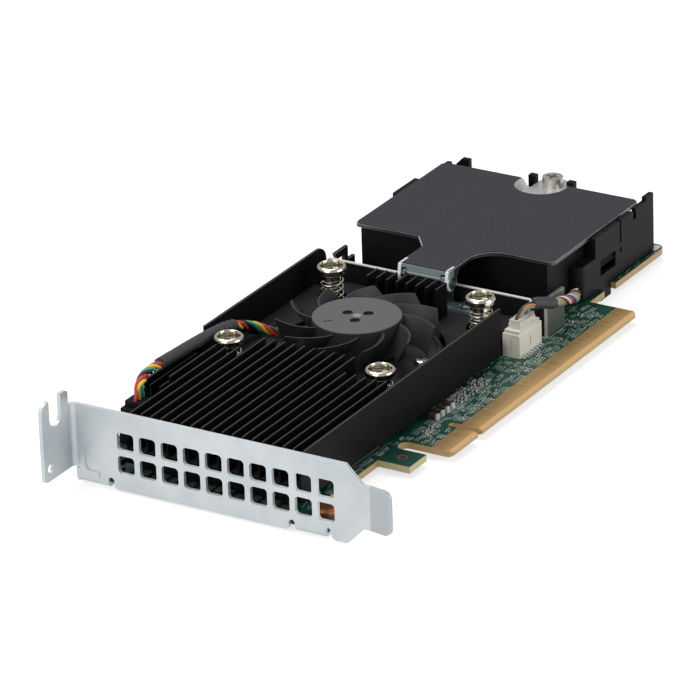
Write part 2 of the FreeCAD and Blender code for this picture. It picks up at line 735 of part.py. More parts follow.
def heat_sink():
    """Base with a stepped rear ledge, straight fins, two side walls, fan well and screw pockets."""
    base_y0 = WALL_Y - WALL_T / 2
    base_y1 = LEFT_WALL_Y + WALL_T / 2
    cut_y = fin_y(HEADER_CUT_FIN) + FIN_T / 2
    solids = [
        block(SINK_X0, MAIN_BASE_X1, base_y0, base_y1, SINK_Z0, FLOOR_Z),
        block(SINK_X0, LEDGE_X1, LEDGE_RIGHT_Y, base_y1, SINK_Z0, LEDGE_Z),
    ]
    right_wall = plate_xz(
        [
            (SINK_X0, SINK_Z0),
            (SINK_X0, SINK_TOP - FIN_CHAMFER),
            (SINK_X0 + FIN_CHAMFER, SINK_TOP),
            (RIGHT_WALL_X1, SINK_TOP),
            (RIGHT_WALL_X1, SINK_Z0),
        ],
        base_y0,
        base_y0 + WALL_T,
    )
    left_wall = block(LEFT_WALL_X0, LEFT_WALL_X1, base_y1 - WALL_T, base_y1, SINK_Z0, SINK_TOP)
    left_wall = left_wall.makeFillet(LEFT_WALL_R, edges_near(left_wall, [(LEFT_WALL_X1, None, SINK_TOP)]))
    low_wall = block(SINK_X0, LEFT_WALL_X0, base_y1 - WALL_T, base_y1, SINK_Z0, LOW_FIN_TOP)
    solids += [right_wall, left_wall, low_wall]
    for index in range(1, FRONT_FINS + 1):
        y = fin_y(index)
        solids.append(
            plate_xz(
                [
                    (SINK_X0, FLOOR_Z - FIN_T),
                    (SINK_X0, SINK_TOP - FIN_CHAMFER),
                    (SINK_X0 + FIN_CHAMFER, SINK_TOP),
                    (FAN_X, SINK_TOP),
                    (FAN_X, FLOOR_Z - FIN_T),
                ],
                y - FIN_T / 2,
                y + FIN_T / 2,
            )
        )
    for index in LOW_FINS:
        y = fin_y(index)
        solids.append(block(SINK_X0, SCREW_X0, y - FIN_T / 2, y + FIN_T / 2, FLOOR_Z - FIN_T, LOW_FIN_TOP))
    rear_x0 = FAN_X + WELL_R + FIN_T
    for index in REAR_FINS:
        y = fin_y(index)
        rear_x = rear_x0 + REAR_FIN_L / 2
        solids.append(slab(rear_x, y, REAR_FIN_L, FIN_T, FLOOR_Z - FIN_T, SINK_TOP))
    sink = joined(solids)
    above = SINK_TOP + MARGIN
    under = SINK_Z0 - MARGIN
    pocket_x0 = SCREW_X0 - POCKET_BACK
    cuts = [
        block(SINK_X0 - MARGIN, HEADER_CUT_X, cut_y, base_y1 + MARGIN, under, above),
        block(RIGHT_WALL_X1, LEDGE_X1 + MARGIN, base_y0 - MARGIN, LEDGE_RIGHT_Y, under, above),
        post(FAN_X, FAN_Y, WELL_Z, above, WELL_R),
        block(FAN_X - WELL_R, FAN_X, base_y0 + WALL_T, base_y1 - WALL_T, FLOOR_Z, above),
    ]
    for x, y in SCREW_XY:
        cuts.append(post(x, y, under, above, NECK_R + HOLE_GAP))
        cuts.append(post(x, y, COUNTERBORE_Z, above, COUNTERBORE_R))
    for side in (-1, 1):
        y = MID_Y + side * SCREW_SPAN_Y / 2
        y0 = max(y - POCKET_HALF_W, base_y0 + WALL_T)
        cuts.append(block(pocket_x0, FAN_X, y0, y + POCKET_HALF_W, FLOOR_Z, LOW_FIN_TOP))
        cuts.append(block(pocket_x0, FAN_X, y0, min(y + POCKET_HALF_W, fin_y(LOW_FINS[0])), FLOOR_Z, above))
    for x, y in FAN_SCREW_XY:
        cuts.append(post(x, y, SINK_Z0, WELL_Z, M2_R + THREAD_GAP))
    for x, y in HINGE_SCREW_XY:
        cuts.append(post(x, y, SINK_Z0, LEDGE_Z, M2_R + THREAD_GAP))
    slot_y1 = base_y1 - WALL_T - FIN_T
    cuts.append(block(LEAD_SLOT_X0, LEAD_SLOT_X1, FAN_Y, slot_y1, WELL_Z, FLOOR_Z))
    return sink.cut(cuts)


def spring_screw(x, y):
    """Shouldered screw with a wide recessed ring head for a hand or a driver."""
    top = SINK_TOP
    under = top - RING_H
    tip = -BOARD_T - NUT_H
    profile = [
        (0, tip),
        (M3_R, tip),
        (M3_R, SINK_Z0),
        (NECK_R, SINK_Z0),
        (NECK_R, under - COLLAR_H),
        (COLLAR_R, under - COLLAR_H),
        (COLLAR_R, under),
        (RING_R - RING_EDGE, under),
        (RING_R, under + RING_EDGE),
        (RING_R, top - RING_EDGE),
        (RING_R - RING_EDGE, top),
        (RING_RECESS_R, top),
        (RING_RECESS_R, top - RING_RECESS_H),
        (0, top - RING_RECESS_H),
    ]
    screw = turned(x, y, profile)
    return screw.cut(cross_recess(x, y, top - RING_RECESS_H, RING_DRIVE_REACH, DRIVE_W, DRIVE_DEPTH))


def screw_spring(x, y):
    """Coil spring between the sink's counterbore and the ring head."""
    z0 = COUNTERBORE_Z + WIRE_W / 2
    height = SINK_TOP - RING_H - COLLAR_H - COUNTERBORE_Z - WIRE_W
    helix = Part.makeHelix(height / COIL_TURNS, height, COIL_R)
    half = WIRE_W / 2
    section = Part.makePolygon(
        [
            vec(COIL_R - half, 0, -half),
            vec(COIL_R + half, 0, -half),
            vec(COIL_R + half, 0, half),
            vec(COIL_R - half, 0, half),
            vec(COIL_R - half, 0, -half),
        ]
    )
    coil = Part.Wire(helix).makePipeShell([section], True, True)
    coil.translate(vec(x, y, z0))
    return coil


def press_nut(x, y):
    """Flanged nut pressed into the board from below."""
    flange_z = -BOARD_T - NUT_H
    nut = post(x, y, flange_z, -BOARD_T, NUT_R).fuse(post(x, y, -BOARD_T, 0, NUT_BARREL_R))
    return nut.cut(post(x, y, flange_z, 0, M3_R + THREAD_GAP))


def fan_base():
    """Moulded carrier: round plate with a low rim and the bearing tube in its middle."""
    rim_top = FAN_BASE_TOP + FAN_RIM_H
    bore = TUBE_R - TUBE_WALL
    profile = [
        (0, WELL_Z),
        (FAN_BASE_R, WELL_Z),
        (FAN_BASE_R, rim_top),
        (FAN_BASE_R - FAN_RIM_T, rim_top),
        (FAN_BASE_R - FAN_RIM_T, FAN_BASE_TOP),
        (TUBE_R, FAN_BASE_TOP),
        (TUBE_R, TUBE_TOP),
        (bore, TUBE_TOP),
        (bore, FAN_BASE_TOP),
        (0, FAN_BASE_TOP),
    ]
    base = turned(FAN_X, FAN_Y, profile)
    cuts = [post(x, y, WELL_Z, FAN_BASE_TOP, M2_R + HOLE_GAP) for x, y in FAN_SCREW_XY]
    slot_y0 = FAN_Y + HUB_R
    cuts.append(block(LEAD_SLOT_X0, LEAD_SLOT_X1, slot_y0, FAN_Y + WELL_R, FAN_BASE_TOP, rim_top))
    return base.cut(cuts)


def stator_core():
    """Laminated core: ring on the bearing tube, four arms and four curved pole shoes."""
    z1 = STATOR_Z0 + STATOR_H
    inner = TUBE_R + THREAD_GAP
    shoes = ring(FAN_X, FAN_Y, STATOR_Z0, z1, STATOR_R, STATOR_R - SHOE_T)
    solids = [ring(FAN_X, FAN_Y, STATOR_Z0, z1, inner + STATOR_RING_T, inner)]
    reach = inner + STATOR_RING_T / 2
    slots = []
    for i in range(POLES):
        turn = 360 * i / POLES
        arm_l = STATOR_R - SHOE_T / 2 - reach
        arm = slab(FAN_X + reach + arm_l / 2, FAN_Y, arm_l, ARM_W, STATOR_Z0, z1)
        arm.rotate(vec(FAN_X, FAN_Y, 0), vec(0, 0, 1), turn)
        solids.append(arm)
        slot = slab(FAN_X + STATOR_R, FAN_Y, 2 * SHOE_T + ARM_W, ARM_W, STATOR_Z0, z1)
        slot.rotate(vec(FAN_X, FAN_Y, 0), vec(0, 0, 1), turn + 180 / POLES)
        slots.append(slot)
    return joined(solids + [shoes.cut(slots)])


def stator_coils():
    """One wound coil round each arm of the core."""
    z1 = STATOR_Z0 + STATOR_H
    gap = THREAD_GAP
    width = ARM_W + 2 * gap
    half = width / 2 + COIL_THICK
    r0 = TUBE_R + STATOR_RING_T + 2 * gap
    r1 = math.sqrt((STATOR_R - SHOE_T - gap) ** 2 - half ** 2)
    length = r1 - r0
    coils = []
    for i in range(POLES):
        x = FAN_X + r1 - length / 2
        wound = slab(x, FAN_Y, length, 2 * half, STATOR_Z0 - COIL_THICK, z1 + COIL_THICK)
        core = slab(x, FAN_Y, length, width, STATOR_Z0 - gap, z1 + gap)
        coil = wound.cut(core)
        coil.rotate(vec(FAN_X, FAN_Y, 0), vec(0, 0, 1), 360 * i / POLES)
        coils.append(coil)
    return Part.makeCompound(coils)


def blade_section(radius, share):
    """A leaning quadrilateral square to the radius, turned back by the blade's sweep."""
    half = BLADE_T / 2
    lean = BLADE_LEAN / 2
    points = [
        (lean - half, BLADE_TOP),
        (lean + half, BLADE_TOP),
        (half - lean, BLADE_Z0),
        (-half - lean, BLADE_Z0),
    ]
    corners = [vec(radius, s, z) for s, z in points]
    wire = Part.makePolygon(corners + corners[:1])
    wire.rotate(vec(0, 0, 0), vec(0, 0, 1), -BLADE_SWEEP_DEG * share ** BLADE_SWEEP_POWER)
    return wire


def impeller():
    """Hub cap with skirt, three recesses and the ring of swept, leaning blades."""
    inner = HUB_R - HUB_WALL
    top = SINK_TOP
    ceiling = top - HUB_TOP_T
    profile = [
        (SHAFT_R, ceiling),
        (inner, ceiling),
        (inner, HUB_Z0),
        (HUB_R, HUB_Z0),
        (HUB_R, top - HUB_EDGE_R),
        (HUB_R - HUB_EDGE_R, top),
        (SHAFT_R, top),
    ]
    hub = turned(0, 0, profile)
    root = HUB_R - HUB_WALL / 2
    sections = []
    for i in range(BLADE_STATIONS):
        share = i / (BLADE_STATIONS - 1)
        sections.append(blade_section(root + (BLADE_R - root) * share, share))
    blade = Part.makeLoft(sections, True, False)
    solids = [hub]
    for i in range(BLADES):
        copy = blade.copy()
        copy.rotate(vec(0, 0, 0), vec(0, 0, 1), BLADE_PHASE_DEG + 360 * i / BLADES)
        solids.append(copy)
    wheel = joined(solids)
    cuts = [slab(HUB_SLIT_RADIUS, 0, HUB_SLIT_L, HUB_SLIT_W, top - HUB_HOLE_DEPTH, top)]
    cuts[0].rotate(vec(0, 0, 0), vec(0, 0, 1), HUB_SLIT_DEG)
    for i in range(HUB_HOLES):
        hole = post(HUB_HOLE_RADIUS, 0, top - HUB_HOLE_DEPTH, top, HUB_HOLE_R)
        hole.rotate(vec(0, 0, 0), vec(0, 0, 1), HUB_HOLE_DEG + 360 * i / HUB_HOLES)
        cuts.append(hole)
    wheel = wheel.cut(cuts)
    wheel.translate(vec(FAN_X, FAN_Y, 0))
    return wheel


def open_shroud(x, y, length, width, height):
    """A board header: a box open at the top, with a shallow groove in its right and front faces."""
    outer = slab(x, y, length, width, 0, height)
    inner = slab(x, y, length - 2 * SHROUD_WALL, width - 2 * SHROUD_WALL, SHROUD_FLOOR, height)
    side = slab(x, y - width / 2, GROOVE_W, 2 * GROOVE_D, GROOVE_Z0, GROOVE_Z1)
    end = slab(x - length / 2, y, 2 * GROOVE_D, GROOVE_W, GROOVE_Z0, GROOVE_Z1)
    return outer.cut([inner, side, end])


def wire_plug(x, y, length, width, z0, lip_z, top):
    """A wire plug: a body that sits in the shroud, a wider lip on it and a stepped wire end."""
    inset = 2 * (SHROUD_WALL + PLUG_GAP)
    body = slab(x, y, length - inset, width - inset, z0, lip_z)
    lip_l = length - 2 * PLUG_LIP
    lip_w = width - 2 * PLUG_LIP
    lip = slab(x, y, lip_l, lip_w, lip_z, top - PLUG_STEP)
    end = slab(x, y, lip_l - 2 * PLUG_STEP, lip_w - 2 * PLUG_LIP, top - PLUG_STEP, top)
    return joined([body, lip, end])


def support_frame():
    """Folded sheet: floor on the board, front wall, a plain right flange and a hooked left one."""
    floor = block(FRAME_X, FRAME_FLOOR_X1, FRAME_Y0, FRAME_Y1, 0, FRAME_T)
    front = block(FRAME_X, FRAME_X + FRAME_T, FRAME_Y0, FRAME_Y1, 0, FRAME_TOP)
    right = block(FRAME_X, FRAME_FLANGE_X1, FRAME_Y0, FRAME_Y0 + FRAME_T, 0, FRAME_FLANGE_TOP)
    left = plate_xz(
        [
            (FRAME_X, 0),
            (FRAME_X, FRAME_LEFT_TOP),
            (HOOK_NECK_X, FRAME_LEFT_TOP),
            (HOOK_NECK_X, HOOK_LOW),
            (HOOK_X0 + HOOK_SLANT, HOOK_LOW),
            (HOOK_X0, HOOK_TOP),
            (HOOK_X1, HOOK_TOP),
            (HOOK_X1, FRAME_LEFT_TOP),
            (FRAME_LEFT_X1, FRAME_LEFT_TOP),
            (FRAME_LEFT_X1, 0),
        ],
        FRAME_Y1 - FRAME_T,
        FRAME_Y1,
    )
    frame = joined([floor, front, right, left])
    holes = [post(x, y, 0, FRAME_T, M2_R + HOLE_GAP) for x, y in FRAME_SCREW_XY]
    return frame.cut(holes)


def hinge_bracket():
    """Zinc-plated bracket: foot on the sink's ledge, windowed web and two knuckles for the pin."""
    web_x1 = WEB_X + HINGE_T
    foot_l = LEDGE_X1 - HINGE_FOOT_X0
    foot = slab(HINGE_SCREW_X, HINGE_Y, foot_l, 2 * HINGE_FOOT_HALF, LEDGE_Z, LEDGE_Z + HINGE_T)
    web_mid = WEB_X + HINGE_T / 2
    web = slab(web_mid, HINGE_Y, HINGE_T, 2 * KNUCKLE_HALF, LEDGE_Z, WEB_TOP)
    knuckle_low = HINGE_Z - KNUCKLE_R
    solids = [foot, web]
    for y0 in (HINGE_Y - KNUCKLE_HALF, HINGE_Y + KNUCKLE_HALF - HINGE_T):
        solids.append(rod_y(HINGE_X, HINGE_Z, y0, y0 + HINGE_T, KNUCKLE_R))
        solids.append(block(HINGE_X, web_x1, y0, y0 + HINGE_T, knuckle_low, WEB_TOP))
    bracket = joined(solids)
    cuts = [
        slab(web_mid, HINGE_Y, HINGE_T, 2 * WEB_WINDOW_HALF, WEB_WINDOW_Z0, WEB_WINDOW_Z1),
        rod_y(HINGE_X, HINGE_Z, HINGE_Y - KNUCKLE_HALF, HINGE_Y + KNUCKLE_HALF, PIN_R),
    ]
    for x, y in HINGE_SCREW_XY:
        cuts.append(post(x, y, LEDGE_Z, LEDGE_Z + HINGE_T, M2_R + HOLE_GAP))
    return bracket.cut(cuts)


def hinge_pin():
    """Rivet-like pin through the knuckles, with a head outside each ear of the cover."""
    reach = EAR_HALF + COVER_T + THREAD_GAP
    pin = rod_y(HINGE_X, HINGE_Z, HINGE_Y - reach, HINGE_Y + reach, PIN_R)
    right = rod_y(HINGE_X, HINGE_Z, HINGE_Y - reach - PIN_HEAD_H, HINGE_Y - reach, PIN_HEAD_R)
    left = rod_y(HINGE_X, HINGE_Z, HINGE_Y + reach, HINGE_Y + reach + PIN_HEAD_H, PIN_HEAD_R)
    return joined([pin, right, left])


def cover_wire(inset, front_x, z):
    """The cover's outline: tongue, slanted left shoulder, curved right shoulder, round rear cut."""
    tongue = EAR_HALF + COVER_T - inset
    half = COVER_HALF - inset
    front = COVER_FRONT_X + inset
    rear = COVER_REAR_X - inset
    cut_r = DISH_R + inset
    cut_half = math.sqrt(cut_r ** 2 - (rear - DISH_X) ** 2)
    right = HINGE_Y - tongue
    left = HINGE_Y + tongue
    slant_x = front - TONGUE_SLANT
    curve_y = right - TONGUE_CURVE_R
    curve_x = front - TONGUE_CURVE_R
    bow = TONGUE_CURVE_R * (1 - math.sqrt(0.5))
    corners = [
        (curve_x, right),
        (front_x, right),
        (front_x, left),
        (slant_x, left),
        (front, left + TONGUE_SLANT_W),
        (front, MID_Y + half),
        (rear, MID_Y + half),
        (rear, HINGE_Y + cut_half),
    ]
    points = [vec(x, y, z) for x, y in corners]
    edges = [Part.makeLine(a, b) for a, b in zip(points, points[1:])]
    dip_end = vec(rear, HINGE_Y - cut_half, z)
    edges.append(Part.Arc(points[-1], vec(DISH_X - cut_r, HINGE_Y, z), dip_end).toShape())
    corners = [(rear, MID_Y - half), (front, MID_Y - half), (front, curve_y)]
    closing = [dip_end] + [vec(x, y, z) for x, y in corners]
    edges += [Part.makeLine(a, b) for a, b in zip(closing, closing[1:])]
    edges.append(Part.Arc(closing[-1], vec(front - bow, right - bow, z), points[0]).toShape())
    return Part.Wire(edges)


def cover_sheet(inset, front_x, z, thickness):
    sheet = Part.Face(cover_wire(inset, front_x, z)).extrude(vec(0, 0, thickness))
    half = COVER_HALF - inset
    corners = []
    for x in (COVER_FRONT_X + inset, COVER_REAR_X - inset):
        for y in (MID_Y - half, MID_Y + half):
            corners.append((x, y, None))
    return sheet.makeFillet(COVER_CORNER_R, edges_near(sheet, corners))


def cover_plate():
    """Folded steel cover: flat sheet, two hinge ears and the drawn dish with the screw tab."""
    sheet = cover_sheet(0, HINGE_X - TONGUE_LEAD, COVER_Z, COVER_T)
    flap_x = HINGE_X - TONGUE_LEAD + COVER_T / 2
    flap_w = 2 * (KNUCKLE_HALF - HINGE_T - EAR_GAP)
    solids = [sheet, slab(flap_x, HINGE_Y, COVER_T, flap_w, FLAP_Z, COVER_TOP)]
    for y0 in (HINGE_Y - EAR_HALF - COVER_T, HINGE_Y + EAR_HALF):
        ear = plate_xz(
            [
                (HINGE_X - EAR_R, HINGE_Z),
                (HINGE_X - TONGUE_LEAD, COVER_TOP),
                (EAR_REAR_X, COVER_TOP),
                (HINGE_X + EAR_R, HINGE_Z),
            ],
            y0,
            y0 + COVER_T,
        )
        solids.append(ear)
        solids.append(rod_y(HINGE_X, HINGE_Z, y0, y0 + COVER_T, EAR_R))
    under = DISH_TOP - COVER_T
    slope = DISH_R - DISH_FLOOR_R
    cup = turned(
        DISH_X,
        HINGE_Y,
        [
            (0, under),
            (DISH_FLOOR_R + COVER_T / 2, under),
            (DISH_R + COVER_T / 2, COVER_Z),
            (DISH_R + COVER_T / 2, COVER_TOP),
            (DISH_R, COVER_TOP),
            (DISH_R - slope, DISH_TOP),
            (0, DISH_TOP),
        ],
    )
    behind = slab(COVER_REAR_X + 2 * DISH_R, HINGE_Y, 4 * DISH_R, 4 * DISH_R, under, COVER_TOP)
    solids.append(cup.cut(behind))
    tab_x0 = COVER_REAR_X - COVER_T
    tab_y0 = HINGE_Y - DISH_TAB_HALF
    tab_y1 = HINGE_Y + DISH_TAB_HALF
    solids.append(block(tab_x0, COVER_SCREW_X, tab_y0, tab_y1, under, DISH_TOP))
    solids.append(post(COVER_SCREW_X, HINGE_Y, under, DISH_TOP, DISH_TAB_HALF))
    plate = joined(solids)
    cuts = [
        rod_y(HINGE_X, HINGE_Z, HINGE_Y - EAR_HALF - COVER_T, HINGE_Y + EAR_HALF + COVER_T, PIN_R + PIN_GAP),
        post(COVER_SCREW_X, HINGE_Y, under, DISH_TOP, M3_R + THREAD_GAP),
    ]
    return plate.cut(cuts)


def cover_screw():
    """Tall cheese-head screw kept in the cover's tab."""
    top = DISH_TOP + COVER_SCREW_H
    head = post(COVER_SCREW_X, HINGE_Y, DISH_TOP, top, COVER_SCREW_R)
    screw = head.fuse(post(COVER_SCREW_X, HINGE_Y, COVER_SCREW_TIP_Z, DISH_TOP, M3_R))
    return screw.cut(cross_recess(COVER_SCREW_X, HINGE_Y, top, COVER_DRIVE_REACH, DRIVE_W, DRIVE_DEPTH))


def side_profile(sign):
    """The outline of a side wall: the right one ends in a stepped post, the left one has a bump."""
    if sign < 0:
        return [
            (SIDE_X0, TRAY_SKIRT_Z),
            (SIDE_X0, RIGHT_TOP),
            (SIDE_NOTCH_X0, RIGHT_TOP),
            (SIDE_NOTCH_X0, SIDE_NOTCH_Z),
            (SIDE_NOTCH_X1, SIDE_NOTCH_Z),
            (SIDE_NOTCH_X1, STEP_TOP),
            (POST_X0, STEP_TOP),
            (POST_X0, POST_TOP),
            (TRAY_X1, POST_TOP),
            (TRAY_X1, TRAY_SKIRT_Z),
        ]
    return [
        (SIDE_X0, TRAY_SKIRT_Z),
        (SIDE_X0, LEFT_TOP),
        (BUMP_X0, LEFT_TOP),
        (BUMP_X0, BUMP_TOP),
        (BUMP_X0 + BUMP_L, BUMP_TOP),
        (BUMP_X0 + BUMP_L, LEFT_TOP),
        (TRAY_X1, LEFT_TOP),
        (TRAY_X1, TRAY_SKIRT_Z),
    ]


def tray_side(sign):
    """One side: outer wall with window, latch ramp and slit, return, recessed front wall and clip."""
    outer = MID_Y + sign * (MID_Y - TRAY_Y0)
    inner = outer - sign * TRAY_WALL
    y0 = min(outer, inner)
    y1 = max(outer, inner)
    wall = plate_xz(side_profile(sign), y0, y1)
    window = block(WINDOW_X0, WINDOW_X0 + WINDOW_L, y0, y1, WINDOW_Z0, WINDOW_Z0 + WINDOW_H)
    slit = block(SLIT_X, SLIT_X + SLIT_W, y0, y1, SLIT_Z0, RIGHT_TOP)
    wall = wall.cut([window, slit])
    back = inner - sign * LATCH_T
    ramp = [
        (outer - sign * LATCH_SET, LATCH_Z0),
        (inner, TRAY_FLOOR_Z),
        (back, TRAY_FLOOR_Z),
        (back, LATCH_Z0),
    ]
    latch = plate_yz(ramp, WINDOW_X0, WINDOW_X0 + WINDOW_L)
    step = outer - sign * (TRAY_INSET + TRAY_WALL)
    turn = block(SIDE_X0, SIDE_X0 + TRAY_WALL, min(outer, step), max(outer, step), TRAY_SKIRT_Z, LEFT_TOP)
    front = outer - sign * TRAY_INSET
    front_y0 = min(front, step)
    front_y1 = max(front, step)
    recessed = block(TRAY_X0, SIDE_X0, front_y0, front_y1, TRAY_SKIRT_Z, TRAY_TOP)
    hook_z = -BOARD_T - CLIP_GAP
    clip_x1 = CLIP_X0 + CLIP_W
    leg = block(CLIP_X0, clip_x1, y0, y1, hook_z - CLIP_HOOK, TRAY_SKIRT_Z)
    catch_y = inner - sign * CLIP_REACH
    catch = block(CLIP_X0, clip_x1, min(outer, catch_y), max(outer, catch_y), hook_z - CLIP_HOOK, hook_z)
    return [wall, latch, turn, recessed, leg, catch]


def battery_tray():
    """Moulded tray on two clipped side walls, with a hollow cable post, rear posts and a screw boss."""
    floor_top = TRAY_FLOOR_Z + TRAY_FLOOR_T
    cable_post = block(CABLE_POST_X0, SIDE_X0, TRAY_Y0, FRONT_Y0, TRAY_SKIRT_Z, CABLE_POST_TOP)
    nose = [(CABLE_POST_X0, TRAY_Y0, None)]
    cable_post = cable_post.makeFillet(CABLE_POST_R, edges_near(cable_post, nose))
    rear_post_y1 = REAR_POST_Y + REAR_POST_W
    rear_post = plate_yz(
        [
            (REAR_POST_Y, TRAY_FLOOR_Z),
            (REAR_POST_Y, REAR_POST_TOP),
            (rear_post_y1 - REAR_POST_SLOPE, REAR_POST_TOP),
            (rear_post_y1, REAR_POST_TOP - REAR_POST_SLOPE),
            (rear_post_y1, TRAY_FLOOR_Z),
        ],
        TRAY_X1 - TRAY_WALL,
        TRAY_X1,
    )
    solids = [
        block(TRAY_X0, SIDE_X0, FRONT_Y0, FRONT_Y1, TRAY_FLOOR_Z, floor_top),
        block(SIDE_X0, TRAY_X1, TRAY_Y0, TRAY_Y1, TRAY_FLOOR_Z, floor_top),
        block(TRAY_X0, TRAY_X0 + TRAY_WALL, FRONT_Y0, FRONT_Y1, TRAY_SKIRT_Z, TRAY_TOP),
        cable_post,
        rear_post,
        post(COVER_SCREW_X, HINGE_Y, TRAY_FLOOR_Z, BOSS_TOP, BOSS_R),
    ]
    solids += tray_side(-1)
    solids += tray_side(1)
    guide = DISH_TAB_HALF + PACK_GAP
    guide_x0 = TRAY_X1 - GUIDE_POST_L
    for y0 in (HINGE_Y - guide - GUIDE_POST_T, HINGE_Y + guide):
        solids.append(block(guide_x0, TRAY_X1, y0, y0 + GUIDE_POST_T, TRAY_FLOOR_Z, GUIDE_POST_TOP))
    hole_x = CABLE_POST_X0 + CABLE_POST_R
    hole_y = (TRAY_Y0 + FRONT_Y0) / 2
    cuts = [
        post(COVER_SCREW_X, HINGE_Y, TRAY_FLOOR_Z, BOSS_TOP, INSERT_R + THREAD_GAP),
        post(hole_x, hole_y, CABLE_POST_TOP - CABLE_HOLE_DEPTH, CABLE_POST_TOP, CABLE_HOLE_R),
    ]
    return joined(solids).cut(cuts)


def drive_port(y):
    """Right-angle receptacle at the rear edge, with its mouth to the rear."""
    x1 = BOARD_X1 + PORT_PROUD
    housing = block(x1 - PORT_L, x1, y - PORT_W / 2, y + PORT_W / 2, 0, PORT_H)
    middle = PORT_H / 2
    mouth = block(x1 - PORT_MOUTH_DEPTH, x1, y - PORT_MOUTH_W / 2, y + PORT_MOUTH_W / 2,
                  middle - PORT_MOUTH_H / 2, middle + PORT_MOUTH_H / 2)
    return housing.cut(mouth)


def lead(name, route, radius):
    """A round lead along straight runs joined by arcs as large as the runs allow."""
    points = [vec(*p) for p in route]
    edges = []
    radii = []
    start = points[0]
    for before, corner, after in zip(points, points[1:], points[2:]):
        back = (before - corner).normalize()
        ahead = (after - corner).normalize()
        turn = math.pi - back.getAngle(ahead)
        run = 0.45 * min((before - corner).Length, (after - corner).Length)
        arc_r = run / math.tan(turn / 2)
        radii.append(arc_r)
        enter = corner + back * run
        leave = corner + ahead * run
        bisector = (back + ahead).normalize()
        centre = corner + bisector * (arc_r / math.cos(turn / 2))
        edges.append(Part.makeLine(start, enter))
        edges.append(Part.Arc(enter, centre - bisector * arc_r, leave).toShape())
        start = leave
    edges.append(Part.makeLine(start, points[-1]))
    path = Part.Wire(edges)
    circle = Part.Wire(Part.makeCircle(radius, points[0], points[1] - points[0]))
    tube = path.makePipeShell([circle], True, True)
    print(name, "radii", [round(r, 1) for r in radii])
    print(name, "volume", round(tube.Volume, 2))
    print(name, "section times length", round(math.pi * radius ** 2 * path.Length, 2))
    return tube


# Board, contacts and bracket
save("circuit_board", circuit_board())
save("edge_contacts", edge_contacts())
save("io_bracket", io_bracket())
for number, flange_y in enumerate(FLANGE_YS, 1):
    save(
        "bracket_screw_%d" % number,
        pan_screw(FLANGE_X, flange_y, 0, BRACKET_Z0, PAN_R, PAN_H, M3_R),
    )

# Chips and small parts on the board
chip_base = slab(FAN_X, MID_Y, CHIP_W, CHIP_W, 0, CHIP_BASE_H)
chip_lid = slab(FAN_X, MID_Y, CHIP_LID_W, CHIP_LID_W, CHIP_BASE_H, CHIP_H)
save("controller_chip", joined([chip_base, chip_lid]))
save("thermal_pad", slab(FAN_X, MID_Y, CHIP_LID_W, CHIP_LID_W, CHIP_H, SINK_Z0))
for number in range(MEMORY_COUNT):
    memory_y = MID_Y + (number - (MEMORY_COUNT - 1) / 2) * MEMORY_PITCH
    save(
        "memory_chip_%d" % (number + 1),
        slab(MEMORY_X, memory_y, MEMORY_L, MEMORY_W, 0, MEMORY_H),
    )
for number in range(INDUCTOR_COUNT):
    inductor_y = MID_Y + (number - (INDUCTOR_COUNT - 1) / 2) * INDUCTOR_PITCH
    save(
        "power_inductor_%d" % (number + 1),
        rounded_slab(INDUCTOR_X, inductor_y, INDUCTOR_W, INDUCTOR_W, 0, INDUCTOR_H, INDUCTOR_R),
    )
capacitors = []
for number in range(CAP_COUNT):
    cap_x = CAP_X + number * CAP_PITCH
    capacitors.append(block(cap_x, cap_x + CAP_W, CAP_Y - CAP_L / 2, CAP_Y + CAP_L / 2, 0, CAP_H))
save("ceramic_capacitors", Part.makeCompound(capacitors))

# Heat sink and its sprung fixings
save("heat_sink", heat_sink())
for number, (screw_x, screw_y) in enumerate(SCREW_XY, 1):
    save("spring_screw_%d" % number, spring_screw(screw_x, screw_y))
    save("screw_spring_%d" % number, screw_spring(screw_x, screw_y))
    save("press_nut_%d" % number, press_nut(screw_x, screw_y))

# Fan
save("fan_base", fan_base())
driver_top = FAN_BASE_TOP + DRIVER_T
save("driver_board", ring(FAN_X, FAN_Y, FAN_BASE_TOP, driver_top, DRIVER_R, TUBE_R + THREAD_GAP))
save(
    "fan_bearing",
    ring(FAN_X, FAN_Y, FAN_BASE_TOP, TUBE_TOP, TUBE_R - TUBE_WALL - THREAD_GAP, SHAFT_R + SHAFT_GAP),
)
save("stator_core", stator_core())
save("stator_coils", stator_coils())
save("impeller", impeller())
cup_r = HUB_R - HUB_WALL - MAGNET_GAP
hub_ceiling = SINK_TOP - HUB_TOP_T
save("rotor_cup", ring(FAN_X, FAN_Y, HUB_Z0, hub_ceiling, cup_r, cup_r - CUP_T))
magnet_r = cup_r - CUP_T - MAGNET_GAP
magnet_z0 = STATOR_Z0 - MAGNET_REACH
magnet_z1 = STATOR_Z0 + STATOR_H + MAGNET_REACH
save("rotor_magnet", ring(FAN_X, FAN_Y, magnet_z0, magnet_z1, magnet_r, magnet_r - MAGNET_T))
save("fan_shaft", post(FAN_X, FAN_Y, FAN_BASE_TOP + THREAD_GAP, SINK_TOP, SHAFT_R))
for number, (screw_x, screw_y) in enumerate(FAN_SCREW_XY, 1):
    save(
        "fan_screw_%d" % number,
        small_screw(screw_x, screw_y, FAN_BASE_TOP, SINK_Z0),
    )
fan_place = (FAN_HEADER_X, FAN_HEADER_Y, FAN_HEADER_W, FAN_HEADER_L)
save("fan_header", open_shroud(*fan_place, FAN_HEADER_H))
save("fan_plug", wire_plug(*fan_place, SHROUD_FLOOR, FAN_HEADER_H, FAN_PLUG_TOP))
save("fan_lead", lead("fan_lead", FAN_ROUTE, FAN_LEAD_R))

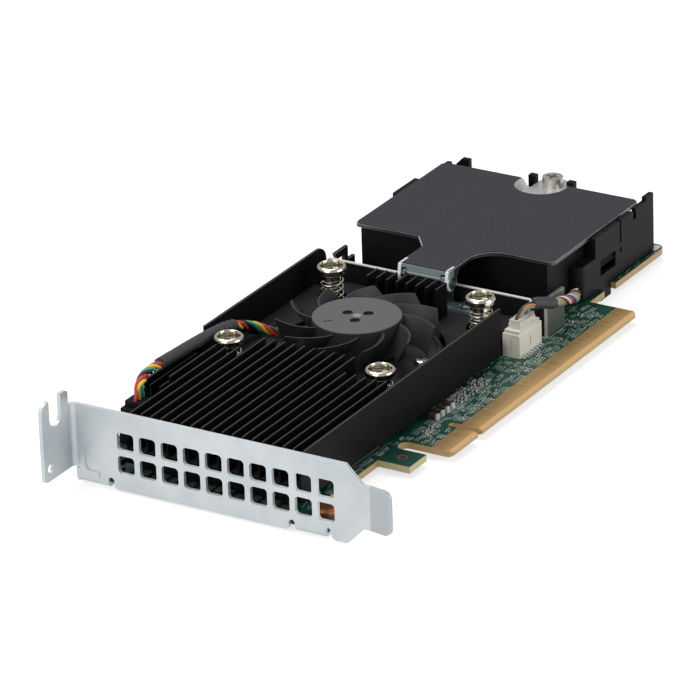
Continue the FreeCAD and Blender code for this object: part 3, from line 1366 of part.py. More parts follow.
# Battery module
save("support_frame", support_frame())
for number, (screw_x, screw_y) in enumerate(FRAME_SCREW_XY, 1):
    save(
        "frame_screw_%d" % number,
        small_screw(screw_x, screw_y, FRAME_T, -BOARD_T),
    )
save("battery_tray", battery_tray())
pack_x0 = TRAY_X0 + TRAY_WALL + PACK_GAP
pack_x1 = DISH_X - DISH_R - COVER_T - PACK_GAP
save(
    "battery_pack",
    rounded_slab(
        (pack_x0 + pack_x1) / 2,
        MID_Y,
        pack_x1 - pack_x0,
        FRONT_Y1 - FRONT_Y0 - 2 * TRAY_WALL - 2 * PACK_GAP,
        TRAY_FLOOR_Z + TRAY_FLOOR_T,
        TRAY_TOP,
        PACK_EDGE_R,
    ),
)
save("cover_insert", ring(COVER_SCREW_X, HINGE_Y, TRAY_FLOOR_Z, BOSS_TOP, INSERT_R, INSERT_BORE_R))
battery_place = (BATT_HEADER_X, BATT_HEADER_Y, BATT_HEADER_L, BATT_HEADER_W)
save("battery_header", open_shroud(*battery_place, BATT_HEADER_H))
save("battery_plug", wire_plug(*battery_place, SHROUD_FLOOR, BATT_HEADER_H, BATT_PLUG_TOP))
save("battery_lead", lead("battery_lead", BATT_ROUTE, BATT_LEAD_R))
for number, side in enumerate((-1, 1), 1):
    save("drive_connector_%d" % number, drive_port(MID_Y + side * PORT_SPREAD))

# Hinge and cover
save("hinge_bracket", hinge_bracket())
for number, (screw_x, screw_y) in enumerate(HINGE_SCREW_XY, 1):
    save(
        "hinge_screw_%d" % number,
        small_screw(screw_x, screw_y, LEDGE_Z + HINGE_T, SINK_Z0),
    )
save("hinge_pin", hinge_pin())
save("cover_plate", cover_plate())
save("cover_film", cover_sheet(FILM_INSET, HINGE_X - TONGUE_LEAD + FILM_INSET, COVER_TOP, FILM_T))
save("cover_screw", cover_screw())
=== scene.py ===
import math
import random

import bmesh
import bpy
from mathutils import Matrix, Vector


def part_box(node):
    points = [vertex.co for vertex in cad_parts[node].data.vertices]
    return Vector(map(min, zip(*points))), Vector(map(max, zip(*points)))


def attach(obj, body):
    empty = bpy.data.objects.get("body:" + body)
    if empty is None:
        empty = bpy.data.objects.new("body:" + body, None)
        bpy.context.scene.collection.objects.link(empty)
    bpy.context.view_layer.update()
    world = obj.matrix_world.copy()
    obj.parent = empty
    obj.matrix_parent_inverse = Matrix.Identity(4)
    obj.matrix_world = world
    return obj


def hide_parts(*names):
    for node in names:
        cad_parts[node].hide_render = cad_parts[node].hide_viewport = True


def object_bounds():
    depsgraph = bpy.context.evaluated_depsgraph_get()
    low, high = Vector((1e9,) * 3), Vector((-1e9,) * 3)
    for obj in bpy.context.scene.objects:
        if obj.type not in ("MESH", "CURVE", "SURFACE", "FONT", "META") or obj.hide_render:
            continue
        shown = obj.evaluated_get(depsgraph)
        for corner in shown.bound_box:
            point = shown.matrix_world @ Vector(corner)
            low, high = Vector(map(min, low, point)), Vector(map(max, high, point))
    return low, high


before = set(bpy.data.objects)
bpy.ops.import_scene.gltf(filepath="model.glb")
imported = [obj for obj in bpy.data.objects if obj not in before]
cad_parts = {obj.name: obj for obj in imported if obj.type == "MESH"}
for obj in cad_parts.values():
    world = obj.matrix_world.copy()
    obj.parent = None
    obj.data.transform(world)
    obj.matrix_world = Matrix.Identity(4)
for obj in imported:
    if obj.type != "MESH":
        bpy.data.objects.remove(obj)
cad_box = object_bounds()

# Circuit board: a glass-fibre laminate with dark green solder mask on both faces. The mask stops short of
# the contact tongue, and the routed edges show the bare tan fibre layers, palest on the retention foot.
MM = 0.001  # lengths without this factor are in millimetres, for the functions that take them so
MASK_GREEN = (0.004, 0.034, 0.022)
MASK_LIGHT = (0.006, 0.054, 0.035)
LAMINATE_TAN = (0.41, 0.265, 0.10)
LAMINATE_PALE = (0.53, 0.37, 0.16)
FOOT_PALE = (0.57, 0.50, 0.27)
GAP_DARK = (0.21, 0.13, 0.055)
GAP_LIGHT = (0.29, 0.18, 0.078)
GAP_WIPED = (0.50, 0.315, 0.135)
DULL_COPPER = (0.13, 0.075, 0.055)
MASK_END_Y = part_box("edge_contacts")[1][1]
TONGUE_START_X = 45.0 * MM
WIPED_Y = 3.4 * MM
BEVEL_Y = 1.1 * MM
FOOT_HOLE = (37.6 * MM, 8.25 * MM)
FOOT_HOLE_R = 0.8 * MM
FOOT_LIMIT_X = 41.5 * MM
FOOT_ROOT_Y = 12.2 * MM
SHADED_X = 2.1 * MM
FINE_RELIEF = 0.01 * MM


def finish(name, colour, roughness, metallic=0.0, specular=0.5):
    """A new Principled material with its node tree and shader."""
    material = bpy.data.materials.new(name)
    material.use_nodes = True
    tree = material.node_tree
    shader = tree.nodes["Principled BSDF"]
    shader.inputs["Base Color"].default_value = (*colour, 1.0)
    shader.inputs["Roughness"].default_value = roughness
    shader.inputs["Metallic"].default_value = metallic
    shader.inputs["Specular IOR Level"].default_value = specular
    return material, tree, shader


def place(tree, stretch=(1.0, 1.0, 1.0)):
    """Object coordinates, stretched to give a pattern its direction."""
    coordinates = tree.nodes.new("ShaderNodeTexCoord")
    mapping = tree.nodes.new("ShaderNodeMapping")
    mapping.inputs["Scale"].default_value = stretch
    tree.links.new(coordinates.outputs["Object"], mapping.inputs["Vector"])
    return mapping.outputs["Vector"]


def cloud(tree, per_metre, stretch=(1.0, 1.0, 1.0), detail=4.0):
    """Soft noise with a given number of patches in a metre."""
    noise = tree.nodes.new("ShaderNodeTexNoise")
    noise.inputs["Scale"].default_value = per_metre
    noise.inputs["Detail"].default_value = detail
    tree.links.new(place(tree, stretch), noise.inputs["Vector"])
    return noise.outputs["Fac"]


def graded(tree, value, low, high, to_low=0.0, to_high=1.0):
    """A number carried from one range to another and held at its ends."""
    grade = tree.nodes.new("ShaderNodeMapRange")
    grade.inputs["From Min"].default_value = low
    grade.inputs["From Max"].default_value = high
    grade.inputs["To Min"].default_value = to_low
    grade.inputs["To Max"].default_value = to_high
    tree.links.new(value, grade.inputs["Value"])
    return grade.outputs["Result"]


def worked(tree, operation, first, second):
    """Two numbers, from sockets or given outright, joined by one operation."""
    joined = tree.nodes.new("ShaderNodeMath")
    joined.operation = operation
    for socket, value in zip(joined.inputs, (first, second)):
        if isinstance(value, float):
            socket.default_value = value
        else:
            tree.links.new(value, socket)
    return joined.outputs["Value"]


def blended(tree, share, first, second):
    """Two colours, from sockets or given outright, mixed by a share."""
    mix = tree.nodes.new("ShaderNodeMix")
    mix.data_type = "RGBA"
    tree.links.new(share, mix.inputs["Factor"])
    for socket, colour in ((mix.inputs[6], first), (mix.inputs[7], second)):
        if isinstance(colour, tuple):
            socket.default_value = (*colour, 1.0)
        else:
            tree.links.new(colour, socket)
    return mix.outputs[2]


def coloured(tree, shader, share, first, second):
    """Gives a shader a base colour that passes from one colour to another."""
    tree.links.new(blended(tree, share, first, second), shader.inputs["Base Color"])


def glossed(tree, shader, pattern, low, high):
    """Gives a shader a roughness that wanders between two values with a pattern."""
    tree.links.new(graded(tree, pattern, 0.3, 0.7, low, high), shader.inputs["Roughness"])


def relief(tree, shader, height, depth):
    """Gives a shader fine relief in metres from a height pattern."""
    bump = tree.nodes.new("ShaderNodeBump")
    bump.inputs["Distance"].default_value = depth
    bump.inputs["Strength"].default_value = 0.6
    tree.links.new(height, bump.inputs["Height"])
    tree.links.new(bump.outputs["Normal"], shader.inputs["Normal"])


def facing(tree, axis):
    """How far a surface faces along one axis, without its sign."""
    geometry = tree.nodes.new("ShaderNodeNewGeometry")
    split = tree.nodes.new("ShaderNodeSeparateXYZ")
    tree.links.new(geometry.outputs["Normal"], split.inputs["Vector"])
    size = tree.nodes.new("ShaderNodeMath")
    size.operation = "ABSOLUTE"
    tree.links.new(split.outputs[axis], size.inputs[0])
    return size.outputs["Value"]


def along(tree, axis):
    """One object coordinate in metres."""
    split = tree.nodes.new("ShaderNodeSeparateXYZ")
    tree.links.new(place(tree), split.inputs["Vector"])
    return split.outputs[axis]


def past(tree, axis, limit, fade):
    """Zero up to a limit on an axis and one past a short fade, which runs backwards if it is negative."""
    return graded(tree, along(tree, axis), limit, limit + fade)


def dress(material, *nodes):
    """Gives CAD nodes their finished material."""
    for node in nodes:
        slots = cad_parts[node].data.materials
        slots.clear()
        slots.append(material)


board_finish, tree, shader = finish("solder_mask", MASK_GREEN, 0.36)
mottle = graded(tree, cloud(tree, 160.0), 0.42, 0.6)
masked = blended(tree, mottle, MASK_GREEN, MASK_LIGHT)
below_mask = past(tree, "Y", MASK_END_Y, -0.05 * MM)
past_start = past(tree, "X", TONGUE_START_X, 0.05 * MM)
on_tongue = worked(tree, "MULTIPLY", below_mask, past_start)
between_pads = blended(tree, cloud(tree, 900.0), GAP_DARK, GAP_LIGHT)
toward_bevel = graded(tree, along(tree, "Y"), WIPED_Y, BEVEL_Y)
faced = blended(tree, on_tongue, masked, blended(tree, toward_bevel, between_pads, GAP_WIPED))
fibres = blended(tree, cloud(tree, 2500.0, (0.2, 0.2, 3.0)), LAMINATE_TAN, LAMINATE_PALE)
before_limit = past(tree, "X", FOOT_LIMIT_X, -0.1 * MM)
below_root = past(tree, "Y", FOOT_ROOT_Y, -0.1 * MM)
on_foot = worked(tree, "MULTIPLY", before_limit, below_root)
edgewise = graded(tree, facing(tree, "Z"), 0.75, 0.6)
routed = blended(tree, edgewise, faced, blended(tree, on_foot, fibres, FOOT_PALE))
# The board's front edge behind the bracket is painted dark green as shade.
painted_bracket_shade = past(tree, "X", SHADED_X, -0.1 * MM)
edged = blended(tree, painted_bracket_shade, routed, MASK_GREEN)
from_hole = tree.nodes.new("ShaderNodeVectorMath")
from_hole.operation = "DISTANCE"
from_hole.inputs[1].default_value = (*FOOT_HOLE, 0.0)
tree.links.new(place(tree, (1.0, 1.0, 0.0)), from_hole.inputs[0])
plated_hole = graded(tree, from_hole.outputs["Value"], FOOT_HOLE_R * 1.2, FOOT_HOLE_R * 1.1)
coloured(tree, shader, plated_hole, edged, DULL_COPPER)
glossed(tree, shader, cloud(tree, 700.0), 0.3, 0.46)
relief(tree, shader, cloud(tree, 1600.0), FINE_RELIEF)
dress(board_finish, "circuit_board")

# Copper tracks: bundles of thin lines under the mask, which lies paler over the copper. They run along
# the card in groups, step over at 45 degrees and end at tinned through-holes.
TRACK_RISE = 0.012
TRACK_W = 0.17
TRACK_PITCH = 0.62
TRACK_JOG = 0.3
TRACK_RUN = (1.6, 6.0)
TRACK_BREAK = (0.4, 2.2)
TRACK_ROOM = 2.0
GROUP_ROWS = 3
# Each field gives its start and end in X, its first row in Y and its number of rows.
TRACK_FIELDS = (
    (45.6, 55.4, 5.75, 6), (58.9, 127.5, 5.75, 6), (45.6, 127.5, 9.5, 6), (62.0, 127.5, 13.2, 4),
    (6.0, 45.0, 12.7, 4), (144.0, 162.0, 12.7, 1), (6.0, 52.0, 67.2, 2),
)
chance = random.Random(7)


def piece(name, data, material):
    """Puts a mesh on the card as a finished piece of one material."""
    data.materials.clear()
    data.materials.append(material)
    thing = bpy.data.objects.new(name, data)
    bpy.context.scene.collection.objects.link(thing)
    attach(thing, "card")
    return thing


def made(name, mesh, material, soft_angle=None):
    """Turns a bmesh into a piece, with edges smooth up to an angle in degrees where one is given."""
    data = bpy.data.meshes.new(name)
    mesh.to_mesh(data)
    mesh.free()
    if soft_angle is not None:
        data.shade_smooth()
        data.set_sharp_from_angle(angle=math.radians(soft_angle))
    return piece(name, data, material)


def draw_track(mesh, points, width):
    """One track: a line of points in millimetres, drawn out sideways to its width."""
    corners = [mesh.verts.new((x * MM, y * MM, TRACK_RISE * MM)) for x, y in points]
    runs = [mesh.edges.new(pair) for pair in zip(corners, corners[1:])]
    drawn = bmesh.ops.extrude_edge_only(mesh, edges=runs)
    side = [part for part in drawn["geom"] if isinstance(part, bmesh.types.BMVert)]
    bmesh.ops.translate(mesh, vec=(0, width * MM, 0), verts=side)


tracks = bmesh.new()
track_ends = []
for x0, x1, y0, rows in TRACK_FIELDS:
    for first_row in range(0, rows, GROUP_ROWS):
        start = x0
        while start < x1 - TRACK_ROOM:
            end = min(start + chance.uniform(*TRACK_RUN), x1)
            turn = start + chance.uniform(0.3, 0.7) * (end - start)
            jog = chance.choice((-TRACK_JOG, TRACK_JOG))
            last_row = min(first_row + chance.choice((GROUP_ROWS - 1, GROUP_ROWS, GROUP_ROWS)), rows)
            for row in range(first_row, last_row):
                level = y0 + row * TRACK_PITCH
                first = start + chance.uniform(0.0, 0.3) * (turn - start)
                last = end - chance.uniform(0.0, 0.3) * (end - turn)
                points = ((first, level), (turn, level), (turn + TRACK_JOG, level + jog), (last, level + jog))
                draw_track(tracks, points, TRACK_W)
                track_ends.append((last, level + jog + TRACK_W / 2))
            start = end + chance.uniform(*TRACK_BREAK)
bmesh.ops.recalc_face_normals(tracks, faces=tracks.faces)
track_finish, tree, shader = finish("masked_track", (0.13, 0.24, 0.19), 0.34)
over_copper = graded(tree, cloud(tree, 500.0), 0.35, 0.65)
coloured(tree, shader, over_copper, (0.13, 0.24, 0.185), (0.52, 0.60, 0.56))
made("copper_tracks", tracks, track_finish)

# Through-holes and solder dots: flat tinned lands, at most 0.4 mm wide. They stand in rows, at the ends of
# most tracks and loose between them.
LAND_R = 0.2
LAND_SIDES = 8
# Each row gives its start in X, its place in Y, its pitch and its number of lands.
LAND_ROWS = (
    (26.4, 13.6, 0.72, 11), (36.2, 13.2, 0.6, 4),
    (65.0, 9.6, 0.75, 5), (65.0, 10.15, 0.75, 5), (65.0, 10.7, 0.75, 5), (65.0, 11.25, 0.75, 5),
)
TRACK_LAND_R = (0.14, LAND_R)
LANDED_SHARE = 0.7
DOT_COUNT = 110
DOT_X = (59.2, 127.0)
DOT_Y = (5.8, 14.6)
DOT_R = (0.12, LAND_R)
lands = bmesh.new()


def solder_land(x, y, radius):
    """One round tinned land on the component face."""
    spot = Matrix.Translation((x * MM, y * MM, 2 * TRACK_RISE * MM))
    bmesh.ops.create_circle(lands, cap_ends=True, segments=LAND_SIDES, radius=radius * MM, matrix=spot)


for x, y, pitch, count in LAND_ROWS:
    for number in range(count):
        solder_land(x + pitch * number, y, LAND_R)
for x, y in track_ends:
    if chance.random() < LANDED_SHARE:
        solder_land(x, y, chance.uniform(*TRACK_LAND_R))
for number in range(DOT_COUNT):
    solder_land(chance.uniform(*DOT_X), chance.uniform(*DOT_Y), chance.uniform(*DOT_R))
tin_finish, tree, shader = finish("solder_tin", (0.74, 0.74, 0.72), 0.34, 0.35)
glossed(tree, shader, cloud(tree, 2400.0), 0.26, 0.44)
made("solder_lands", lands, tin_finish)

# Board ink: thin white ticks screen-printed beside the parts they belong to, and one pale field in the
# rear corner. The ink lies a little unevenly on the mask.
TICK_COUNT = 30
TICK_X = (59.2, 126.0)
TICK_Y = (6.0, 12.8)
TICK_LENGTH = (0.4, 1.3)
TICK_W = 0.1
PAIRED_TICKS = ((47.4, 6.6), (49.8, 6.0), (60.8, 8.0), (63.4, 6.2), (65.8, 6.6), (68.2, 6.9), (70.6, 7.3))
PAIR_LENGTH = 1.9
PAIR_PITCH = 0.7
# Each line gives its start and end in X, its place in Y and its width; the last one is the field.
INK_LINES = ((108.0, 116.0, 10.6, 0.12), (28.0, 40.0, 15.4, 0.12), (162.4, 165.3, 12.8, 3.6))
ink = bmesh.new()
for number in range(TICK_COUNT):
    x = chance.uniform(*TICK_X)
    y = chance.uniform(*TICK_Y)
    draw_track(ink, ((x, y), (x + chance.uniform(*TICK_LENGTH), y)), TICK_W)
for x, y in PAIRED_TICKS:
    for level in (y, y + PAIR_PITCH):
        draw_track(ink, ((x, level), (x + PAIR_LENGTH, level)), TICK_W)
for x0, x1, y, width in INK_LINES:
    draw_track(ink, ((x0, y), (x1, y)), width)
bmesh.ops.translate(ink, vec=(0, 0, TRACK_RISE * MM), verts=ink.verts)
bmesh.ops.recalc_face_normals(ink, faces=ink.faces)
ink_finish, tree, shader = finish("white_ink", (0.62, 0.66, 0.63), 0.6)
coloured(tree, shader, cloud(tree, 3000.0), (0.50, 0.55, 0.52), (0.70, 0.73, 0.71))
made("ink_ticks", ink, ink_finish)

# Copper ring: the bare land round the hole in the retention foot. It is etched from the board's copper and
# left without mask or tin, so air and handling have dulled it.
RING_INNER_R = FOOT_HOLE_R * 1.05
RING_OUTER_R = FOOT_HOLE_R * 1.5
ring = bmesh.new()
for radius in (RING_INNER_R, RING_OUTER_R):
    spot = Matrix.Translation((*FOOT_HOLE, TRACK_RISE * MM))
    bmesh.ops.create_circle(ring, segments=32, radius=radius, matrix=spot)
bmesh.ops.bridge_loops(ring, edges=ring.edges)
bmesh.ops.recalc_face_normals(ring, faces=ring.faces)
dull_copper, tree, shader = finish("dull_copper", DULL_COPPER, 0.5, 0.3)
coloured(tree, shader, cloud(tree, 1500.0), DULL_COPPER, (0.15, 0.085, 0.06))
made("foot_ring", ring, dull_copper)

# Edge contacts: copper pads under hard gold plating on both faces of the tongue. Sliding in and out
# of slots leaves faint streaks along each pad and wipes its outer end brighter.
gold_finish, tree, shader = finish("contact_gold", (0.74, 0.48, 0.20), 0.4, 0.75)
streaks = cloud(tree, 900.0, (4.0, 0.15, 1.0))
streaked_gold = blended(tree, streaks, (0.36, 0.24, 0.10), (0.50, 0.345, 0.155))
wiped_end = graded(tree, along(tree, "Y"), WIPED_Y, BEVEL_Y)
coloured(tree, shader, wiped_end, streaked_gold, (0.56, 0.36, 0.155))
glossed(tree, shader, streaks, 0.32, 0.5)
dress(gold_finish, "edge_contacts")

# Small board parts: ceramic capacitors and resistors with tinned ends, soldered flat to the board, and
# a row of black filter chips behind the bracket.
CHIP_LENGTH = 0.9
CHIP_W = 0.48
CHIP_HEIGHTS = (0.32, 0.46)
CHIP_TIP = 0.24 * CHIP_LENGTH
TIP_PROUD = 0.03
LENGTHWISE_SHARE = 0.4
# Each area gives its span in X and in Y, its pitch in X and in Y and the share of places that are filled.
PART_AREAS = (
    ((67.2, 82.0), (10.6, 15.2), 1.55, 1.0, 0.8),
    ((49.6, 56.0), (8.6, 10.8), 1.5, 1.05, 0.7),
    ((83.0, 94.0), (11.6, 13.4), 1.9, 1.1, 0.45),
    ((116.0, 127.0), (9.8, 12.4), 2.2, 1.3, 0.35),
    ((44.6, 50.0), (12.6, 13.6), 1.6, 1.0, 0.5),
)
FILTER_COUNT = 19
FILTER_X = (2.0, 4.4)
FILTER_START_Y = 16.2
FILTER_PITCH = 2.3
FILTER_W = 1.7
FILTER_HEIGHTS = (0.9, 1.2, 1.5)
LARGE_FILTER = (6.0, 13.0, 60.2, 66.8, 0, 1.1)
CAPACITOR_BODY_Y = 11.4 * MM


def brick(mesh, x0, x1, y0, y1, z0, z1):
    """A small block between corners in millimetres."""
    size = Matrix.Diagonal(((x1 - x0) * MM, (y1 - y0) * MM, (z1 - z0) * MM, 1.0))
    spot = Matrix.Translation(((x0 + x1) / 2 * MM, (y0 + y1) / 2 * MM, (z0 + z1) / 2 * MM))
    bmesh.ops.create_cube(mesh, size=1.0, matrix=spot @ size)


def softened(mesh, offset, segments):
    """Rounds every edge of a group of small blocks."""
    bmesh.ops.bevel(
        mesh, geom=mesh.edges[:], offset=offset, segments=segments, profile=0.5, affect="EDGES", material=-1
    )


def chip_part(bodies, ends, x, y, height, lengthwise):
    """A chip part: a body between two tinned ends that stand a little proud of it."""
    half = CHIP_LENGTH / 2
    inner = half - CHIP_TIP
    spans = ((bodies, -inner, inner, 0.0), (ends, -half, -inner, TIP_PROUD), (ends, inner, half, TIP_PROUD))
    for mesh, low, high, proud in spans:
        side = CHIP_W / 2 + proud
        if lengthwise:
            brick(mesh, x + low, x + high, y - side, y + side, 0, height + proud)
        else:
            brick(mesh, x - side, x + side, y + low, y + high, 0, height + proud)


brown_bodies = bmesh.new()
black_bodies = bmesh.new()
ends = bmesh.new()
for (x0, x1), (y0, y1), pitch_x, pitch_y, share in PART_AREAS:
    for column in range(int((x1 - x0) / pitch_x)):
        for row in range(int((y1 - y0) / pitch_y)):
            if chance.random() > share:
                continue
            x = x0 + (column + 0.5) * pitch_x + chance.uniform(-0.2, 0.2)
            y = y0 + (row + 0.5) * pitch_y + chance.uniform(-0.12, 0.12)
            bodies = chance.choice((brown_bodies, black_bodies))
            height = chance.choice(CHIP_HEIGHTS)
            chip_part(bodies, ends, x, y, height, chance.random() < LENGTHWISE_SHARE)
filters = bmesh.new()
for number in range(FILTER_COUNT):
    y = FILTER_START_Y + FILTER_PITCH * number
    brick(filters, *FILTER_X, y, y + FILTER_W, 0, chance.choice(FILTER_HEIGHTS))
brick(filters, *LARGE_FILTER)
for mesh in (brown_bodies, black_bodies, filters):
    softened(mesh, 0.05 * MM, 1)
ceramic_finish, tree, shader = finish("fired_ceramic", (0.14, 0.075, 0.04), 0.45)
fired = blended(tree, cloud(tree, 2500.0), (0.026, 0.013, 0.010), (0.055, 0.028, 0.02))
tinned = past(tree, "Y", CAPACITOR_BODY_Y, -0.04 * MM)
coloured(tree, shader, tinned, fired, (0.72, 0.71, 0.69))
tree.links.new(graded(tree, tinned, 0.0, 1.0, 0.0, 0.35), shader.inputs["Metallic"])
tree.links.new(graded(tree, tinned, 0.0, 1.0, 0.48, 0.32), shader.inputs["Roughness"])
dress(ceramic_finish, "ceramic_capacitors")
brown_finish, tree, shader = finish("brown_ceramic", (0.16, 0.09, 0.05), 0.45)
coloured(tree, shader, cloud(tree, 2500.0), (0.12, 0.06, 0.035), (0.22, 0.13, 0.08))
made("brown_chip_parts", brown_bodies, brown_finish)
epoxy_finish, tree, shader = finish("chip_epoxy", (0.012, 0.012, 0.013), 0.55, 0.0, 0.3)
epoxy_grain = cloud(tree, 4000.0)
coloured(tree, shader, epoxy_grain, (0.008, 0.008, 0.009), (0.022, 0.022, 0.023))
relief(tree, shader, epoxy_grain, FINE_RELIEF)
made("black_chip_parts", black_bodies, epoxy_finish)
made("filter_chips", filters, epoxy_finish)
made("tinned_ends", ends, tin_finish)

# Slot bracket: folded steel sheet with a satin zinc plate, a little mottled, with painted shade past its
# lower bend, and brighter along its edges where the shear and the punch have cut it, with a painted highlight
# there as well. Two bronzed screws hold its flanges under the board.
LOWER_BEND_Y = -6.0 * MM


def worn_and_highlit_edges(tree, reach, upper_highlit_only=False):
    """One on sharp edges, zero on flats, from the angle to a rounded normal. It marks edge wear together
    with painted edge highlights, and only edges that face up where that is asked for.
    """
    rounded = tree.nodes.new("ShaderNodeBevel")
    rounded.samples = 6
    rounded.inputs["Radius"].default_value = reach
    flat = tree.nodes.new("ShaderNodeNewGeometry")
    product = tree.nodes.new("ShaderNodeVectorMath")
    product.operation = "DOT_PRODUCT"
    tree.links.new(rounded.outputs["Normal"], product.inputs[0])
    tree.links.new(flat.outputs["Normal"], product.inputs[1])
    on_edge = graded(tree, product.outputs["Value"], 0.98, 0.86)
    if not upper_highlit_only:
        return on_edge
    split = tree.nodes.new("ShaderNodeSeparateXYZ")
    tree.links.new(rounded.outputs["Normal"], split.inputs["Vector"])
    return worked(tree, "MULTIPLY", on_edge, graded(tree, split.outputs["Z"], 0.2, 0.45))


def numbered(stem):
    """The CAD nodes of one repeated piece."""
    return sorted(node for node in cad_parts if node.startswith(stem))


zinc_finish, tree, shader = finish("zinc_plate", (0.60, 0.64, 0.66), 0.44, 0.6)
spangle = graded(tree, cloud(tree, 180.0, (1.0, 0.6, 0.6), 6.0), 0.35, 0.65)
mottled_zinc = blended(tree, spangle, (0.555, 0.60, 0.625), (0.64, 0.675, 0.69))
# The tip past the lower bend is painted darker as shade.
painted_tip_shade = past(tree, "Y", LOWER_BEND_Y, -0.3 * MM)
zinc_with_painted_tip_shade = blended(tree, painted_tip_shade, mottled_zinc, (0.45, 0.475, 0.50))
# Its edges are painted bright, partly as bare cut steel and partly as a highlight.
coloured(tree, shader, worn_and_highlit_edges(tree, 0.16 * MM), zinc_with_painted_tip_shade, (0.80, 0.82, 0.83))
glossed(tree, shader, cloud(tree, 1500.0), 0.38, 0.52)
relief(tree, shader, cloud(tree, 1200.0), FINE_RELIEF)
dress(zinc_finish, "io_bracket")
bronzed, tree, shader = finish("bronzed_steel", (0.33, 0.13, 0.06), 0.3, 0.9)
coloured(tree, shader, cloud(tree, 900.0), (0.27, 0.10, 0.045), (0.40, 0.17, 0.08))
glossed(tree, shader, cloud(tree, 1800.0), 0.22, 0.4)
dress(bronzed, *numbered("bracket_screw"))

# Chips under the sink: moulded epoxy packages with a fine matt grain, soldered to the board. A soft grey
# pad on the controller carries its heat to the sink.
dress(epoxy_finish, "controller_chip", *numbered("memory_chip"), *numbered("power_inductor"))
pad_finish, tree, shader = finish("thermal_pad", (0.32, 0.34, 0.38), 0.8)
coloured(tree, shader, cloud(tree, 1500.0), (0.28, 0.30, 0.34), (0.36, 0.38, 0.42))
dress(pad_finish, "thermal_pad")

# Heat sink: one milled aluminium extrusion, black anodised. Saw and cutter marks run along the fins, the
# floor is a little paler where it faces up, and a painted highlight lies along one top edge of each fin and
# wall.
SINK_FLOOR_Z = 5.2 * MM
FIN_START_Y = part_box("heat_sink")[0][1]
FIN_PITCH = 2.55 * MM
HIGHLIGHT_W = 0.32 * MM
anodised_finish, tree, shader = finish("black_anodised", (0.005, 0.005, 0.0055), 0.5, 0.0, 0.07)
saw_marks = cloud(tree, 500.0, (0.15, 6.0, 6.0))
anodised = blended(tree, saw_marks, (0.003, 0.003, 0.0033), (0.0075, 0.0075, 0.008))
upward = graded(tree, facing(tree, "Z"), 0.5, 0.6)
# The floor is a little paler where it faces up.
floor_level = past(tree, "Z", SINK_FLOOR_Z + 0.3 * MM, -0.1 * MM)
paler_facing_up = blended(tree, worked(tree, "MULTIPLY", upward, floor_level), anodised, (0.021, 0.021, 0.0225))
above_floor = past(tree, "Z", SINK_FLOOR_Z + 0.5 * MM, 0.1 * MM)
across_fin = worked(tree, "MODULO", worked(tree, "SUBTRACT", along(tree, "Y"), FIN_START_Y), FIN_PITCH)
# A painted highlight strip runs along one top edge of each fin and wall.
painted_highlight_side = graded(tree, across_fin, HIGHLIGHT_W, HIGHLIGHT_W - 0.02 * MM)
fin_top_with_painted_highlight = blended(tree, painted_highlight_side, (0.014, 0.014, 0.0145), (0.058, 0.058, 0.060))
coloured(tree, shader, worked(tree, "MULTIPLY", upward, above_floor), paler_facing_up, fin_top_with_painted_highlight)
glossed(tree, shader, saw_marks, 0.44, 0.6)
dress(anodised_finish, "heat_sink")

# Spring screws: turned steel under bright nickel, each with a broad rounded ring for a head, a hollow with a
# cross recess in it, painted darker as shade, a collar and a shank. A coil spring of round wire under the
# collar presses the sink down.
SCREW_PROFILE = (
    (0.0, -2.47), (1.5, -2.47), (1.5, 1.65), (1.75, 1.65), (1.75, 9.6), (2.2, 9.6), (2.45, 9.8), (2.45, 10.6),
    (2.7, 10.8), (3.1, 10.96), (3.36, 11.3), (3.46, 11.75), (3.46, 12.25), (3.36, 12.62), (3.15, 12.88),
    (2.9, 13.0), (2.7, 12.95), (2.6, 12.8), (2.55, 11.3), (2.4, 11.15), (0.0, 11.15),
)
SCREW_STEPS = 48
TURNED_ANGLE = 32
HOLLOW_R = 2.62
HOLLOW_Z = 11.1
CROSS_REACH = 1.6
CROSS_W = 0.62
CROSS_LOW = 10.2
CROSS_HIGH = 11.6
COIL_R = 2.56
COIL_LOW = 3.15
COIL_HIGH = 9.35
COIL_TURNS = 4
COIL_STEPS = 24 * COIL_TURNS
COIL_ANGLE = 50
COIL_WIRE_R = 0.24
COIL_WIRE_SIDES = 8


def upright_axis(node):
    """Where the middle of a CAD node stands in X and Y, in millimetres."""
    low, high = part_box(node)
    return (low[0] + high[0]) / 2 / MM, (low[1] + high[1]) / 2 / MM


def spun(mesh, profile, x, y, steps):
    """Turns a profile of radius and height about an upright axis."""
    corners = [mesh.verts.new(((x + radius) * MM, y * MM, z * MM)) for radius, z in profile]
    runs = [mesh.edges.new(pair) for pair in zip(corners, corners[1:])]
    bmesh.ops.spin(
        mesh, geom=corners + runs, cent=(x * MM, y * MM, 0), axis=(0, 0, 1), angle=math.tau,
        steps=steps, use_merge=True, use_duplicate=False,
    )
    bmesh.ops.remove_doubles(mesh, verts=mesh.verts, dist=0.0005 * MM)
    bmesh.ops.recalc_face_normals(mesh, faces=mesh.faces)


